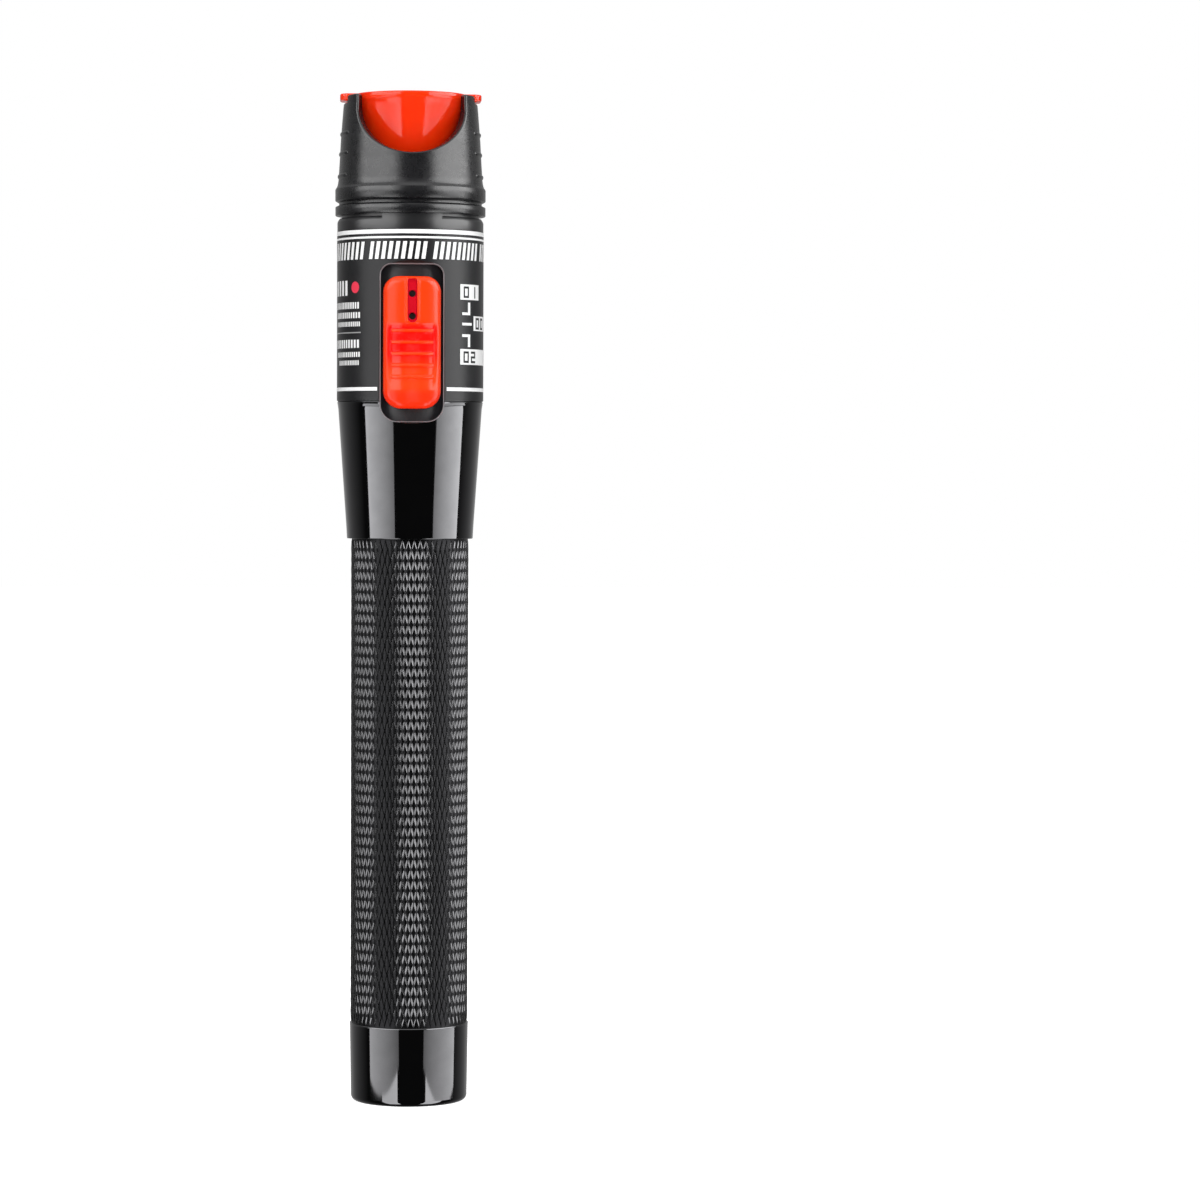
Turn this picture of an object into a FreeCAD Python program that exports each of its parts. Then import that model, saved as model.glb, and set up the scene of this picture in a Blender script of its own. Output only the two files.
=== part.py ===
"""A pen-shaped visual fault locator: a red laser torch for fibre cables.

Two battery cells stand in a knurled barrel, under a housing with the circuit board and a
slide switch.  A laser module shines up into a ferrule port, which a red dust cap covers
between the two ears of a shroud.  The origin is the middle of the flat base, +Z runs up
the axis to the port, and the switch faces -Y.  Millimetres and degrees.
"""

import FreeCAD, Part
import math
import os
import re
import Sketcher
from FreeCAD import Vector

SIZES = {
    # heights above the base
    "tail_height": 13.5,
    "collar_foot": 96.75,
    "collar_top": 120.1,
    "housing_foot": 110.0,
    "label_top": 149.2,
    "housing_top": 151.4,
    "shroud_foot": 151.9,
    "shroud_top": 172.3,
    "cap_top": 172.65,
    # the tail cap and its spring
    "tail_foot_radius": 9.98,
    "tail_rim_radius": 10.21,
    "tail_foot_round": 0.95,
    "tail_rim_bevel": 0.22,
    "tail_floor": 2.4,
    "tail_bore": 7.4,
    "spigot_radius": 8.62,
    "spigot_length": 7.5,
    "ring_wire": 0.4,
    "ring_centre": 8.27,
    "ring_height": 14.85,
    "contact_radius": 6.8,
    "contact_sheet": 0.4,
    "spring_wire": 0.35,
    "spring_foot_radius": 5.9,
    "spring_head_radius": 3.2,
    "spring_turns": 4,
    # battery cells
    "cell_radius": 7.1,
    "cell_length": 50.5,
    "nub_radius": 2.75,
    "nub_height": 1.3,
    "cell_foot": 8.5,
    # the barrel
    "barrel_radius": 10.08,
    "knurl_around": 62,
    "knurl_rows": 45,
    "knurl_depth": 0.27,
    "barrel_bore": 7.5,
    "socket_radius": 8.7,
    "joint_radius": 9.0,
    "joint_top": 108.3,
    # the taper collar
    "collar_foot_radius": 10.79,
    "collar_top_radius": 12.49,
    "collar_bore": 10.2,
    "fit_gap": 0.05,
    # the slot that the switch slides in
    "slot_foot": 116.4,
    "slot_head": 143.2,
    "slot_half_width": 5.35,
    "slot_foot_round": 2.8,
    "slot_head_round": 1.8,
    "slot_bevel": 0.3,
    # the housing
    "sleeve_seat": 12.45,
    "label_film": 0.1,
    "housing_radius": 12.5,
    "housing_bore": 10.25,
    "housing_ledge": 8.6,
    "neck_radius": 11.7,
    "nose_radius": 10.65,
    "nose_bore": 9.0,
    "nose_top": 158.5,
    "web_foot": 148.5,
    "web_top": 151.05,
    "window_angle": 98.0,
    "lug_angle": 48.0,
    # the switch
    "plate_radius": 10.0,
    "plate_sheet": 0.8,
    "plate_half_width": 6.9,
    "plate_foot": 113.9,
    "plate_head": 145.7,
    "button_foot": 118.5,
    "button_head": 141.2,
    "button_half_width": 5.03,
    "button_foot_round": 3.0,
    "button_head_round": 2.6,
    "button_face": 13.95,
    "button_crown": 10.0,
    "button_edge_round": 1.1,
    "scoop_foot": 122.5,
    "scoop_head": 133.1,
    "scoop_middle": 127.8,
    "scoop_depth": 0.65,
    "scoop_angle": 47.0,
    "rib_pitch": 1.97,
    "rib_radius": 0.28,
    "groove_half_width": 0.84,
    "groove_foot": 133.3,
    "groove_head": 140.7,
    "lever_middle": 129.85,
    "lever_half_width": 0.75,
    "lever_half_length": 1.0,
    "switch_travel": 2.0,
    "stem_half_width": 1.9,
    "stem_half_length": 2.55,
    "stem_back": 7.2,
    "stem_length": 3.4,
    # the circuit board
    "board_half_width": 7.3,
    "board_front": 2.25,
    "board_sheet": 1.0,
    "board_foot": 111.4,
    "board_head": 145.0,
    "chip_foot": 133.5,
    "pin_pitch": 1.27,
    "resistor_foot": 124.0,
    "resistor_pitch": 2.1,
    "capacitor_radius": 2.0,
    "capacitor_side": 3.4,
    "capacitor_height": 121.5,
    "rivet_head_radius": 3.0,
    "rivet_radius": 1.0,
    # the laser module and the port
    "module_radius": 5.0,
    "module_foot": 146.0,
    "lens_radius": 3.2,
    "port_radius": 3.0,
    "port_top": 168.0,
    "sleeve_radius": 1.6,
    "ferrule_radius": 1.25,
    "sleeve_foot": 156.4,
    "sleeve_length": 11.4,
    # the shroud
    "shroud_radius": 12.87,
    "shroud_bore": 9.76,
    "shroud_floor": 160.6,
    "scallop_middle": 170.5,
    "scallop_radius": 8.4,
    "grip_angle": 56.0,
    "bead_radius": 0.48,
    "bead_low": 158.6,
    "bead_middle": 162.4,
    "bead_high": 165.8,
    "ear_round": 0.45,
    # the dust cap
    "cap_rim_radius": 9.68,
    "cap_rim_foot": 171.45,
    "cap_foot": 161.4,
    "cap_foot_radius": 4.9,
    "cap_neck_radius": 9.45,
    "cap_bend": 56,
    "wing_reach": 12.07,
    "wing_half_width": 3.25,
}

doc = FreeCAD.newDocument("fault_locator")
sheet = doc.addObject("Spreadsheet::Sheet", "sizes")
for row, (alias, size) in enumerate(SIZES.items(), start=1):
    sheet.set("A%d" % row, alias)
    sheet.set("B%d" % row, str(size))
    sheet.setAlias("B%d" % row, alias)
doc.recompute()

WORD = re.compile(r"[a-z][a-z_]*")
nodes = []


# ---------------------------------------------------------------- helpers

def linked(text):
    """An expression in which each size is read from the sheet."""
    return WORD.sub(lambda word: "sizes." + word.group() if word.group() in SIZES else word.group(), text)


def size_of(text):
    """The number that an expression in sheet sizes comes to."""
    return float(sheet.evalExpression(linked(text)))


def new_body(label, is_node=True):
    """An empty body, whose label names its file if it is a node of its own."""
    body = doc.addObject("PartDesign::Body", label)
    body.Label = label
    if is_node:
        nodes.append(body)
    return body


def new_sketch(body, plane):
    """A sketch on one of the body's own origin planes."""
    sketch = body.newObject("Sketcher::SketchObject", body.Name + "_sketch")
    side = [item for item in body.Origin.OriginFeatures if item.Role == plane][0]
    sketch.AttachmentSupport = (side, [""])
    sketch.MapMode = "FlatFace"
    return sketch


def hold(sketch, kind, line, end, text):
    """Ties one end of a line to the sheet, by its distance from the sketch's origin."""
    place = sketch.addConstraint(Sketcher.Constraint(kind, -1, 1, line, end, size_of(text)))
    sketch.setExpression("Constraints[%d]" % place, linked(text))


def arc_between(start, end, radius):
    """The short arc between two points, bulging right of the way there, or left if negative."""
    along = end - start
    off = math.copysign(math.sqrt(radius ** 2 - along.Length ** 2 / 4), radius)
    left = Vector(-along.y, along.x, 0).normalize()
    centre = (start + end) / 2 + left * off
    from_start = math.atan2(start.y - centre.y, start.x - centre.x)
    from_end = math.atan2(end.y - centre.y, end.x - centre.x)
    circle = Part.Circle(centre, Vector(0, 0, 1), abs(radius))
    if radius > 0:
        return Part.ArcOfCircle(circle, from_start, from_end)
    return Part.ArcOfCircle(circle, from_end, from_start)


def draw_outline(sketch, corners):
    """Closes an outline through the corners, and ties each corner to the sheet.

    A third value at a corner is the radius of the arc that leads on from it.
    """
    first = sketch.GeometryCount
    count = len(corners)
    spots = [Vector(size_of(corner[0]), size_of(corner[1]), 0) for corner in corners]
    bends = [size_of(corner[2]) if len(corner) > 2 else 0 for corner in corners]
    parts = []
    for n, bend in enumerate(bends):
        ends = (spots[n], spots[(n + 1) % count])
        parts.append(arc_between(*ends, bend) if bend else Part.LineSegment(*ends))
    sketch.addGeometry(parts, False)
    starts = [2 if bend < 0 else 1 for bend in bends]
    rules = []
    for n in range(count):
        after = (n + 1) % count
        ends = (first + n, 3 - starts[n], first + after, starts[after])
        rules.append(Sketcher.Constraint("Coincident", *ends))
    sketch.addConstraint(rules)
    for n, corner in enumerate(corners):
        hold(sketch, "DistanceX", first + n, starts[n], corner[0])
        hold(sketch, "DistanceY", first + n, starts[n], corner[1])
        if bends[n]:
            place = sketch.addConstraint(Sketcher.Constraint("Radius", first + n, abs(bends[n])))
            sketch.setExpression("Constraints[%d]" % place, linked("abs(" + corner[2] + ")"))


def draw_circle(sketch, across, up, radius):
    """A circle with its centre and radius tied to the sheet."""
    centre = Vector(size_of(across), size_of(up), 0)
    line = sketch.addGeometry(Part.Circle(centre, Vector(0, 0, 1), size_of(radius)), False)
    hold(sketch, "DistanceX", line, 3, across)
    hold(sketch, "DistanceY", line, 3, up)
    place = sketch.addConstraint(Sketcher.Constraint("Radius", line, size_of(radius)))
    sketch.setExpression("Constraints[%d]" % place, linked(radius))


def rectangle(left, foot, right, head):
    """The four corners of a rectangle."""
    return [(left, foot), (right, foot), (right, head), (left, head)]


def draw_round_rectangle(sketch, half_width, foot, head, foot_round, head_round):
    """An outline centred on the sketch's upright axis, with one radius below and one above."""
    half = size_of(half_width)
    low = size_of(foot)
    high = size_of(head)
    bend_low = size_of(foot_round)
    bend_high = size_of(head_round)
    first = sketch.GeometryCount

    def corner(across, up, bend, start):
        circle = Part.Circle(Vector(across, up, 0), Vector(0, 0, 1), bend)
        return Part.ArcOfCircle(circle, math.radians(start), math.radians(start + 90))

    def side(x_from, y_from, x_to, y_to):
        return Part.LineSegment(Vector(x_from, y_from, 0), Vector(x_to, y_to, 0))

    sketch.addGeometry([
        side(bend_low - half, low, half - bend_low, low),
        corner(half - bend_low, low + bend_low, bend_low, -90),
        side(half, low + bend_low, half, high - bend_high),
        corner(half - bend_high, high - bend_high, bend_high, 0),
        side(half - bend_high, high, bend_high - half, high),
        corner(bend_high - half, high - bend_high, bend_high, 90),
        side(-half, high - bend_high, -half, low + bend_low),
        corner(bend_low - half, low + bend_low, bend_low, 180),
    ], False)
    rules = [Sketcher.Constraint("Tangent", first + n, 2, first + (n + 1) % 8, 1) for n in range(8)]
    rules.append(Sketcher.Constraint("Horizontal", first))
    rules.append(Sketcher.Constraint("Vertical", first + 2))
    rules.append(Sketcher.Constraint("Equal", first + 1, first + 7))
    rules.append(Sketcher.Constraint("Equal", first + 3, first + 5))
    sketch.addConstraint(rules)
    hold(sketch, "DistanceY", first, 1, foot)
    hold(sketch, "DistanceY", first + 4, 1, head)
    hold(sketch, "DistanceX", first + 2, 1, half_width)
    hold(sketch, "DistanceX", first + 6, 1, "-(" + half_width + ")")
    for line, radius in ((first + 1, foot_round), (first + 3, head_round)):
        place = sketch.addConstraint(Sketcher.Constraint("Radius", line, size_of(radius)))
        sketch.setExpression("Constraints[%d]" % place, linked(radius))


def feature(body, kind, sketch):
    """Adds one sketch-based feature to a body."""
    made = body.newObject("PartDesign::" + kind, body.Name + "_" + kind.lower())
    made.Profile = sketch
    return made


def turn(body, corners, kind="Revolution"):
    """Turns an outline of (radius, height) corners about Z, as solid or as a groove."""
    sketch = new_sketch(body, "XZ_Plane")
    draw_outline(sketch, corners)
    made = feature(body, kind, sketch)
    made.ReferenceAxis = (sketch, ["V_Axis"])
    made.Angle = 360
    doc.recompute()
    return made


def sweep(body, kind, sketch, axis, angle):
    """Turns a sketch part of the way round, as much to one side of its plane as to the other."""
    made = feature(body, kind, sketch)
    made.ReferenceAxis = (sketch, [axis])
    made.Midplane = True
    made.Angle = size_of(angle)
    made.setExpression("Angle", linked(angle))
    doc.recompute()
    return made


def cut_front(body, sketch, reach="20"):
    """Cuts a sketch on the XZ plane through the -Y half of a body."""
    made = feature(body, "Pocket", sketch)
    made.Length = size_of(reach)
    made.setExpression("Length", linked(reach))
    made.Reversed = True
    doc.recompute()
    return made


def dress(body, kind, edges, setting, text):
    """Rounds (Fillet, Radius) or bevels (Chamfer, Size) the named edges of a body's last feature."""
    last = body.Tip
    made = body.newObject("PartDesign::" + kind, body.Name + "_" + kind.lower())
    made.Base = (last, edges)
    setattr(made, setting, size_of(text))
    made.setExpression(setting, linked(text))
    doc.recompute()
    return made


def round_edges(body, edges, radius):
    return dress(body, "Fillet", edges, "Radius", radius)


def bevel_edges(body, edges, width):
    return dress(body, "Chamfer", edges, "Size", width)


def circle_edges(body, radius, height):
    """The names of a body's circular edges about Z at this radius and height."""
    found = []
    for number, edge in enumerate(body.Shape.Edges, start=1):
        curve = edge.Curve
        if not isinstance(curve, Part.Circle):
            continue
        middle = curve.Center
        off_axis = math.hypot(middle.x, middle.y)
        near = abs(curve.Radius - size_of(radius)) < 0.01 and abs(middle.z - size_of(height)) < 0.01
        if near and off_axis < 0.01:
            found.append("Edge%d" % number)
    return found


def edges_where(body, test):
    """The names of the edges whose middle point passes a test."""
    found = []
    for number, edge in enumerate(body.Shape.Edges, start=1):
        middle = edge.valueAt((edge.FirstParameter + edge.LastParameter) / 2)
        if test(middle, edge):
            found.append("Edge%d" % number)
    return found


def plain_feature(label, shape):
    """A feature for a shape made with Part's own functions."""
    made = doc.addObject("Part::Feature", label)
    made.Label = label
    made.Shape = shape
    return made


def loose_solid(label, shape):
    """A node made with Part's own functions."""
    nodes.append(plain_feature(label, shape))


def combined(kind, label, base, tool):
    """Two features joined (Fuse) or one cut from the other (Cut)."""
    made = doc.addObject("Part::" + kind, label)
    made.Label = label
    made.Base = base
    made.Tool = tool
    doc.recompute()
    return made


def block(x_low, x_high, y_low, y_high, z_low, z_high):
    """A box between two corners, each side an expression in sheet sizes."""
    low = Vector(size_of(x_low), size_of(y_low), size_of(z_low))
    high = Vector(size_of(x_high), size_of(y_high), size_of(z_high))
    side = high - low
    return Part.makeBox(side.x, side.y, side.z, low)


def column(radius, foot, head):
    """A cylinder about Z between two heights."""
    low = size_of(foot)
    return Part.makeCylinder(size_of(radius), size_of(head) - low, Vector(0, 0, low))


def triangle(*corners):
    """A flat face between three points."""
    return Part.Face(Part.makePolygon(corners + corners[:1]))


def solid_from(faces):
    """One closed solid from faces that share their edges."""
    shell = Part.makeShell(faces)
    shell.sewShape()
    solid = Part.Solid(shell)
    if solid.Volume < 0:
        solid.reverse()
    return solid


# ---------------------------------------------------------------- tail

def tail_cap():
    """Turned cap: a rounded foot, a spigot for the barrel's thread and a ring groove."""
    body = new_body("tail_cap")
    turn(body, [
        ("0", "0"),
        ("tail_foot_radius", "0"),
        ("tail_rim_radius", "tail_height"),
        ("spigot_radius", "tail_height"),
        ("spigot_radius", "ring_height - ring_wire - fit_gap"),
        ("ring_centre - ring_wire - fit_gap", "ring_height - ring_wire - fit_gap"),
        ("ring_centre - ring_wire - fit_gap", "ring_height + ring_wire + fit_gap"),
        ("spigot_radius", "ring_height + ring_wire + fit_gap"),
        ("spigot_radius", "tail_height + spigot_length"),
        ("tail_bore", "tail_height + spigot_length"),
        ("tail_bore", "tail_floor"),
        ("0", "tail_floor"),
    ])
    round_edges(body, circle_edges(body, "tail_foot_radius", "0"), "tail_foot_round")
    bevel_edges(body, circle_edges(body, "tail_rim_radius", "tail_height"), "tail_rim_bevel")
    bevel_edges(body, circle_edges(body, "spigot_radius", "tail_height + spigot_length"), "tail_rim_bevel")


def tail_o_ring():
    """The rubber ring that seals the spigot."""
    body = new_body("tail_o_ring")
    sketch = new_sketch(body, "XZ_Plane")
    draw_circle(sketch, "ring_centre", "ring_height", "ring_wire")
    ring = feature(body, "Revolution", sketch)
    ring.ReferenceAxis = (sketch, ["V_Axis"])
    ring.Angle = 360


def tail_contact():
    """A shallow brass dish on the cap's floor, which seats the spring."""
    body = new_body("tail_contact")
    turn(body, [
        ("0", "tail_floor"),
        ("contact_radius", "tail_floor"),
        ("contact_radius", "tail_floor + 2.5 * contact_sheet"),
        ("contact_radius - 0.3", "tail_floor + 2.5 * contact_sheet"),
        ("contact_radius - 0.3", "tail_floor + contact_sheet"),
        ("0", "tail_floor + contact_sheet"),
    ])


def tail_spring():
    """A conical spring that presses the cells forward, as a six-sided wire in short straights."""
    wire = size_of("spring_wire")
    foot = size_of("tail_floor + contact_sheet + spring_wire + 0.02")
    head = size_of("cell_foot - spring_wire - 0.02")
    turns = int(size_of("spring_turns"))
    steps = 14 * turns
    hexagon = [math.radians(60 * n + 30) for n in range(6)]
    rings = []
    for step in range(steps + 1):
        way = step / steps
        swing = math.radians(360 * turns * way)
        reach = size_of("spring_foot_radius") * (1 - way) + size_of("spring_head_radius") * way
        level = foot + (head - foot) * way
        outward = Vector(math.cos(swing), math.sin(swing), 0)
        middle = outward * reach + Vector(0, 0, level)
        rings.append([
            middle + outward * (wire * math.cos(a)) + Vector(0, 0, wire * math.sin(a))
            for a in hexagon])
    faces = [Part.Face(Part.makePolygon(ring + ring[:1])) for ring in (rings[0], rings[-1])]
    for here, there in zip(rings, rings[1:]):
        for n in range(6):
            after = (n + 1) % 6
            faces.append(triangle(here[n], here[after], there[n]))
            faces.append(triangle(here[after], there[after], there[n]))
    loose_solid("tail_spring", solid_from(faces))


def battery(label, foot):
    """One round cell, standing with its nub up."""
    body = new_body(label)
    turn(body, [
        ("0", foot),
        ("cell_radius - 1.6", foot),
        ("cell_radius - 1.4", foot + " + 0.25"),
        ("cell_radius - 0.4", foot + " + 0.25"),
        ("cell_radius", foot + " + 0.65"),
        ("cell_radius", foot + " + cell_length - nub_height - 0.6"),
        ("cell_radius - 0.4", foot + " + cell_length - nub_height - 0.2"),
        ("nub_radius", foot + " + cell_length - nub_height"),
        ("nub_radius", foot + " + cell_length - 0.2"),
        ("nub_radius - 0.2", foot + " + cell_length"),
        ("0", foot + " + cell_length"),
    ])


# ---------------------------------------------------------------- barrel and collar

def barrel_tube():
    """The grip: a knurled tube, with a socket for the tail cap and a joint for the collar."""
    joint = column("joint_radius", "collar_foot - 2", "joint_top")
    socket = column("socket_radius", "tail_height - 1", "tail_height + spigot_length + 0.4")
    bore = column("barrel_bore", "tail_height", "joint_top + 1")
    loose_solid("barrel_tube", knurled_bar().fuse(joint).cut(socket.fuse(bore)))


def knurled_bar():
    """A bar with a diamond knurl, as two crossing sets of spiral cuts leave it.

    Each diamond is a low pyramid.  Its side corners lie on its own row, and its upper and
    lower corners are side corners of the rows above and below, half a pitch further round.
    """
    around = int(size_of("knurl_around"))
    rows = int(size_of("knurl_rows"))
    crest = size_of("barrel_radius")
    valley = size_of("barrel_radius - knurl_depth")
    foot = size_of("tail_height")
    pitch = size_of("(collar_foot - tail_height) / (knurl_rows + 1)")

    def spot(place, row, reach):
        swing = 2 * math.pi * place / around
        return Vector(reach * math.sin(swing), -reach * math.cos(swing), foot + row * pitch)

    faces = []
    for row in range(1, rows + 1):
        for n in range(around):
            place = n + (row % 2) / 2
            top = spot(place, row, crest)
            corners = [
                spot(place + 0.5, row, valley), spot(place, row + 1, valley),
                spot(place - 0.5, row, valley), spot(place, row - 1, valley)]
            for here, there in zip(corners, corners[1:] + corners[:1]):
                faces.append(triangle(top, here, there))
    head_shift = (rows % 2) / 2
    foot_ring = [spot(n + 0.5, 0, valley) for n in range(around)]
    head_ring = [spot(n + head_shift, rows + 1, valley) for n in range(around)]
    for n in range(around):
        faces.append(triangle(foot_ring[n], foot_ring[n - 1], spot(n, 1, valley)))
        faces.append(triangle(head_ring[n - 1], head_ring[n], spot(n + head_shift - 0.5, rows, valley)))
    faces.append(Part.Face(Part.makePolygon(foot_ring[::-1] + foot_ring[-1:])))
    faces.append(Part.Face(Part.makePolygon(head_ring + head_ring[:1])))
    return solid_from(faces)


def draw_slot(sketch, grow="0"):
    """The switch slot's outline, wider by a little where asked."""
    draw_round_rectangle(
        sketch, "slot_half_width + " + grow, "slot_foot - " + grow, "slot_head + " + grow,
        "slot_foot_round", "slot_head_round")


def taper_collar():
    """The gloss cone between grip and housing, with the foot of the slot in its front."""
    body = new_body("taper_collar")
    turn(body, [
        ("joint_radius + fit_gap", "collar_foot"),
        ("collar_foot_radius", "collar_foot"),
        ("collar_foot_radius + 0.1", "collar_foot + 2"),
        ("collar_top_radius - 0.19", "collar_top - 1.2"),
        ("collar_top_radius", "collar_top"),
        ("collar_bore", "collar_top"),
        ("collar_bore", "housing_foot - 0.8"),
        ("joint_radius + fit_gap", "housing_foot - 0.8"),
    ])
    sketch = new_sketch(body, "XZ_Plane")
    draw_slot(sketch)
    cut_front(body, sketch)


# ---------------------------------------------------------------- housing

def upper_housing():
    """The tube round the switch, with a foot in the collar and a nose for the shroud."""
    body = new_body("upper_housing")
    turn(body, [
        ("joint_radius", "housing_foot"),
        ("collar_bore - fit_gap", "housing_foot"),
        ("collar_bore - fit_gap", "collar_top"),
        ("sleeve_seat - 0.15", "collar_top"),
        ("sleeve_seat", "collar_top + 0.15"),
        ("sleeve_seat", "label_top"),
        ("housing_radius", "label_top + 0.05"),
        ("housing_radius", "housing_top - 0.7"),
        ("housing_radius - 0.37", "housing_top"),
        ("neck_radius", "housing_top"),
        ("neck_radius", "shroud_foot"),
        ("nose_radius", "shroud_foot"),
        ("nose_radius", "shroud_foot + 2.9"),
        ("nose_radius - 0.3", "shroud_foot + 3.2"),
        ("nose_radius - 0.3", "shroud_foot + 3.8"),
        ("nose_radius", "shroud_foot + 4.1"),
        ("nose_radius", "nose_top - 0.2"),
        ("nose_radius - 0.2", "nose_top"),
        ("nose_bore", "nose_top"),
        ("nose_bore", "web_top"),
        ("module_radius + fit_gap", "web_top"),
        ("module_radius + fit_gap", "web_foot"),
        ("housing_bore", "web_foot"),
        ("housing_bore", "collar_top + 1.2"),
        ("housing_ledge", "collar_top + 1.2"),
        ("housing_ledge", "housing_foot + 2.4"),
        ("joint_radius", "housing_foot + 2.4"),
    ])
    window = new_sketch(body, "YZ_Plane")
    draw_outline(window, rectangle(
        "-housing_bore", "housing_foot - 1", "-housing_ledge + 1", "collar_top + 1.2"))
    sweep(body, "Groove", window, "V_Axis", "window_angle")
    slot = new_sketch(body, "XZ_Plane")
    draw_slot(slot)
    cut_front(body, slot)
    key_lug(body)


def key_lug(body):
    """A pad on the housing's front rim that keys the shroud against turning."""
    sketch = new_sketch(body, "YZ_Plane")
    draw_outline(sketch, rectangle(
        "-housing_radius + 0.06", "housing_top - 1.4", "-neck_radius + 0.4", "shroud_foot - 0.03"))
    sweep(body, "Revolution", sketch, "V_Axis", "lug_angle")


def label_sleeve():
    """The printed film round the housing, cut out for the slot."""
    body = new_body("label_sleeve")
    turn(body, rectangle(
        "sleeve_seat + 0.01", "collar_top + 0.25",
        "sleeve_seat + label_film", "label_top - 0.05"))
    sketch = new_sketch(body, "XZ_Plane")
    draw_slot(sketch, "slot_bevel")
    cut_front(body, sketch)


# ---------------------------------------------------------------- inside the housing

def contact_holder():
    """The insulating disc that carries the front contact and the board's foot."""
    body = new_body("contact_holder")
    turn(body, rectangle(
        "rivet_radius + 0.05", "housing_foot - 0.05", "joint_radius - 0.1", "housing_foot + 2.35"))
    sketch = new_sketch(body, "XZ_Plane")
    draw_outline(sketch, rectangle(
        "-board_half_width - 0.05", "board_foot - 0.05", "board_half_width + 0.05", "housing_foot + 3"))
    slot = feature(body, "Pocket", sketch)
    slot.Length = size_of("board_front + 0.05")
    slot.setExpression("Length", linked("board_front + 0.05"))
    slot.Reversed = True


def front_contact():
    """A brass rivet that meets the upper cell's nub."""
    body = new_body("front_contact")
    turn(body, [
        ("0", "cell_foot + 2 * cell_length"),
        ("rivet_head_radius", "cell_foot + 2 * cell_length"),
        ("rivet_head_radius", "housing_foot - 0.07"),
        ("rivet_radius", "housing_foot - 0.07"),
        ("rivet_radius", "housing_foot + 3"),
        ("0", "housing_foot + 3"),
    ])


def circuit_board():
    """The board, upright in the housing, with a notch at its head for the laser's rear pin."""
    sheet_of_board = block(
        "-board_half_width", "board_half_width", "-board_front", "-board_front + board_sheet",
        "board_foot", "board_head")
    notch = block("-0.3", "0.3", "-board_front - 1", "0", "board_head - 1", "board_head + 1")
    loose_solid("circuit_board", sheet_of_board.cut(notch))


def driver_chip():
    """An eight-legged chip on the back of the board."""
    face = size_of("board_sheet - board_front")
    foot = size_of("chip_foot")
    chip = Part.makeBox(3.9, 1.5, 4.9, Vector(-1.95, face + 0.12, foot))
    legs = []
    for row_side in (-1, 1):
        for pin in range(4):
            level = foot + 0.25 + size_of("pin_pitch") * pin
            corner = Vector(row_side * 2.4 - 0.55, face, level)
            legs.append(Part.makeBox(1.1, 0.6, 0.42, corner))
    loose_solid("driver_chip", chip.multiFuse(legs).removeSplitter())


def chip_resistors():
    """Four small resistors in a row on the back of the board, as one group."""
    face = size_of("board_sheet - board_front")
    row_of = []
    for n in range(4):
        level = size_of("resistor_foot + %d * resistor_pitch" % n)
        row_of.append(Part.makeBox(1.6, 0.5, 0.8, Vector(-5.2, face, level)))
    loose_solid("chip_resistors", Part.makeCompound(row_of))


def supply_capacitor():
    """A round capacitor standing off the back of the board."""
    face = size_of("board_sheet - board_front")
    middle = Vector(size_of("capacitor_side"), face, size_of("capacitor_height"))
    can = Part.makeCylinder(size_of("capacitor_radius"), 5.2, middle, Vector(0, 1, 0))
    rim = [edge for edge in can.Edges if isinstance(edge.Curve, Part.Circle)]
    loose_solid("supply_capacitor", can.makeFillet(0.3, rim))


def slide_switch_body():
    """The three-position switch on the board, open in front for its lever."""
    can = block("-2", "2", "-6", "-board_front", "lever_middle - 5", "lever_middle + 5")
    reach = "(lever_half_length + switch_travel + 0.25)"
    way = block("-1", "1", "-7", "-4.8", "lever_middle - " + reach, "lever_middle + " + reach)
    loose_solid("slide_switch_body", can.cut(way))


def slide_switch_lever():
    """The switch's lever, caught in the button's stem."""
    lever = block(
        "-lever_half_width", "lever_half_width", "-9", "-5",
        "lever_middle - lever_half_length", "lever_middle + lever_half_length")
    loose_solid("slide_switch_lever", lever)


# ---------------------------------------------------------------- switch

def switch_slide_plate():
    """A curved plate that closes the slot behind the button."""
    body = new_body("switch_slide_plate")
    turn(body, rectangle("plate_radius - plate_sheet", "plate_foot", "plate_radius", "plate_head"))
    sides = new_sketch(body, "XY_Plane")
    draw_outline(sides, rectangle("-15", "0", "15", "15"))
    back = feature(body, "Pocket", sides)
    back.Type = "ThroughAll"
    back.SideType = "Symmetric"
    doc.recompute()
    for side in ("-", ""):
        sketch = new_sketch(body, "XZ_Plane")
        draw_outline(sketch, rectangle(
            side + "plate_half_width", "plate_foot - 1", side + "15", "plate_head + 1"))
        cut_front(body, sketch)
    hole = new_sketch(body, "XZ_Plane")
    draw_outline(hole, rectangle(
        "-stem_half_width - 0.05", "lever_middle - stem_half_length - 0.05",
        "stem_half_width + 0.05", "lever_middle + stem_half_length + 0.05"))
    cut_front(body, hole)


def switch_button():
    """The red slide button: a crowned face with a thumb scoop, ribs and a marked groove."""
    body = new_body("switch_button")
    crowned_block(body)
    round_ends(body)
    trim_to_outline(body)
    turn(body, rectangle("0", "button_foot - 2", "plate_radius + 0.02", "button_head + 2"), "Groove")
    scoop_and_ribs(body)
    button_groove(body)
    button_stem(body)


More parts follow.
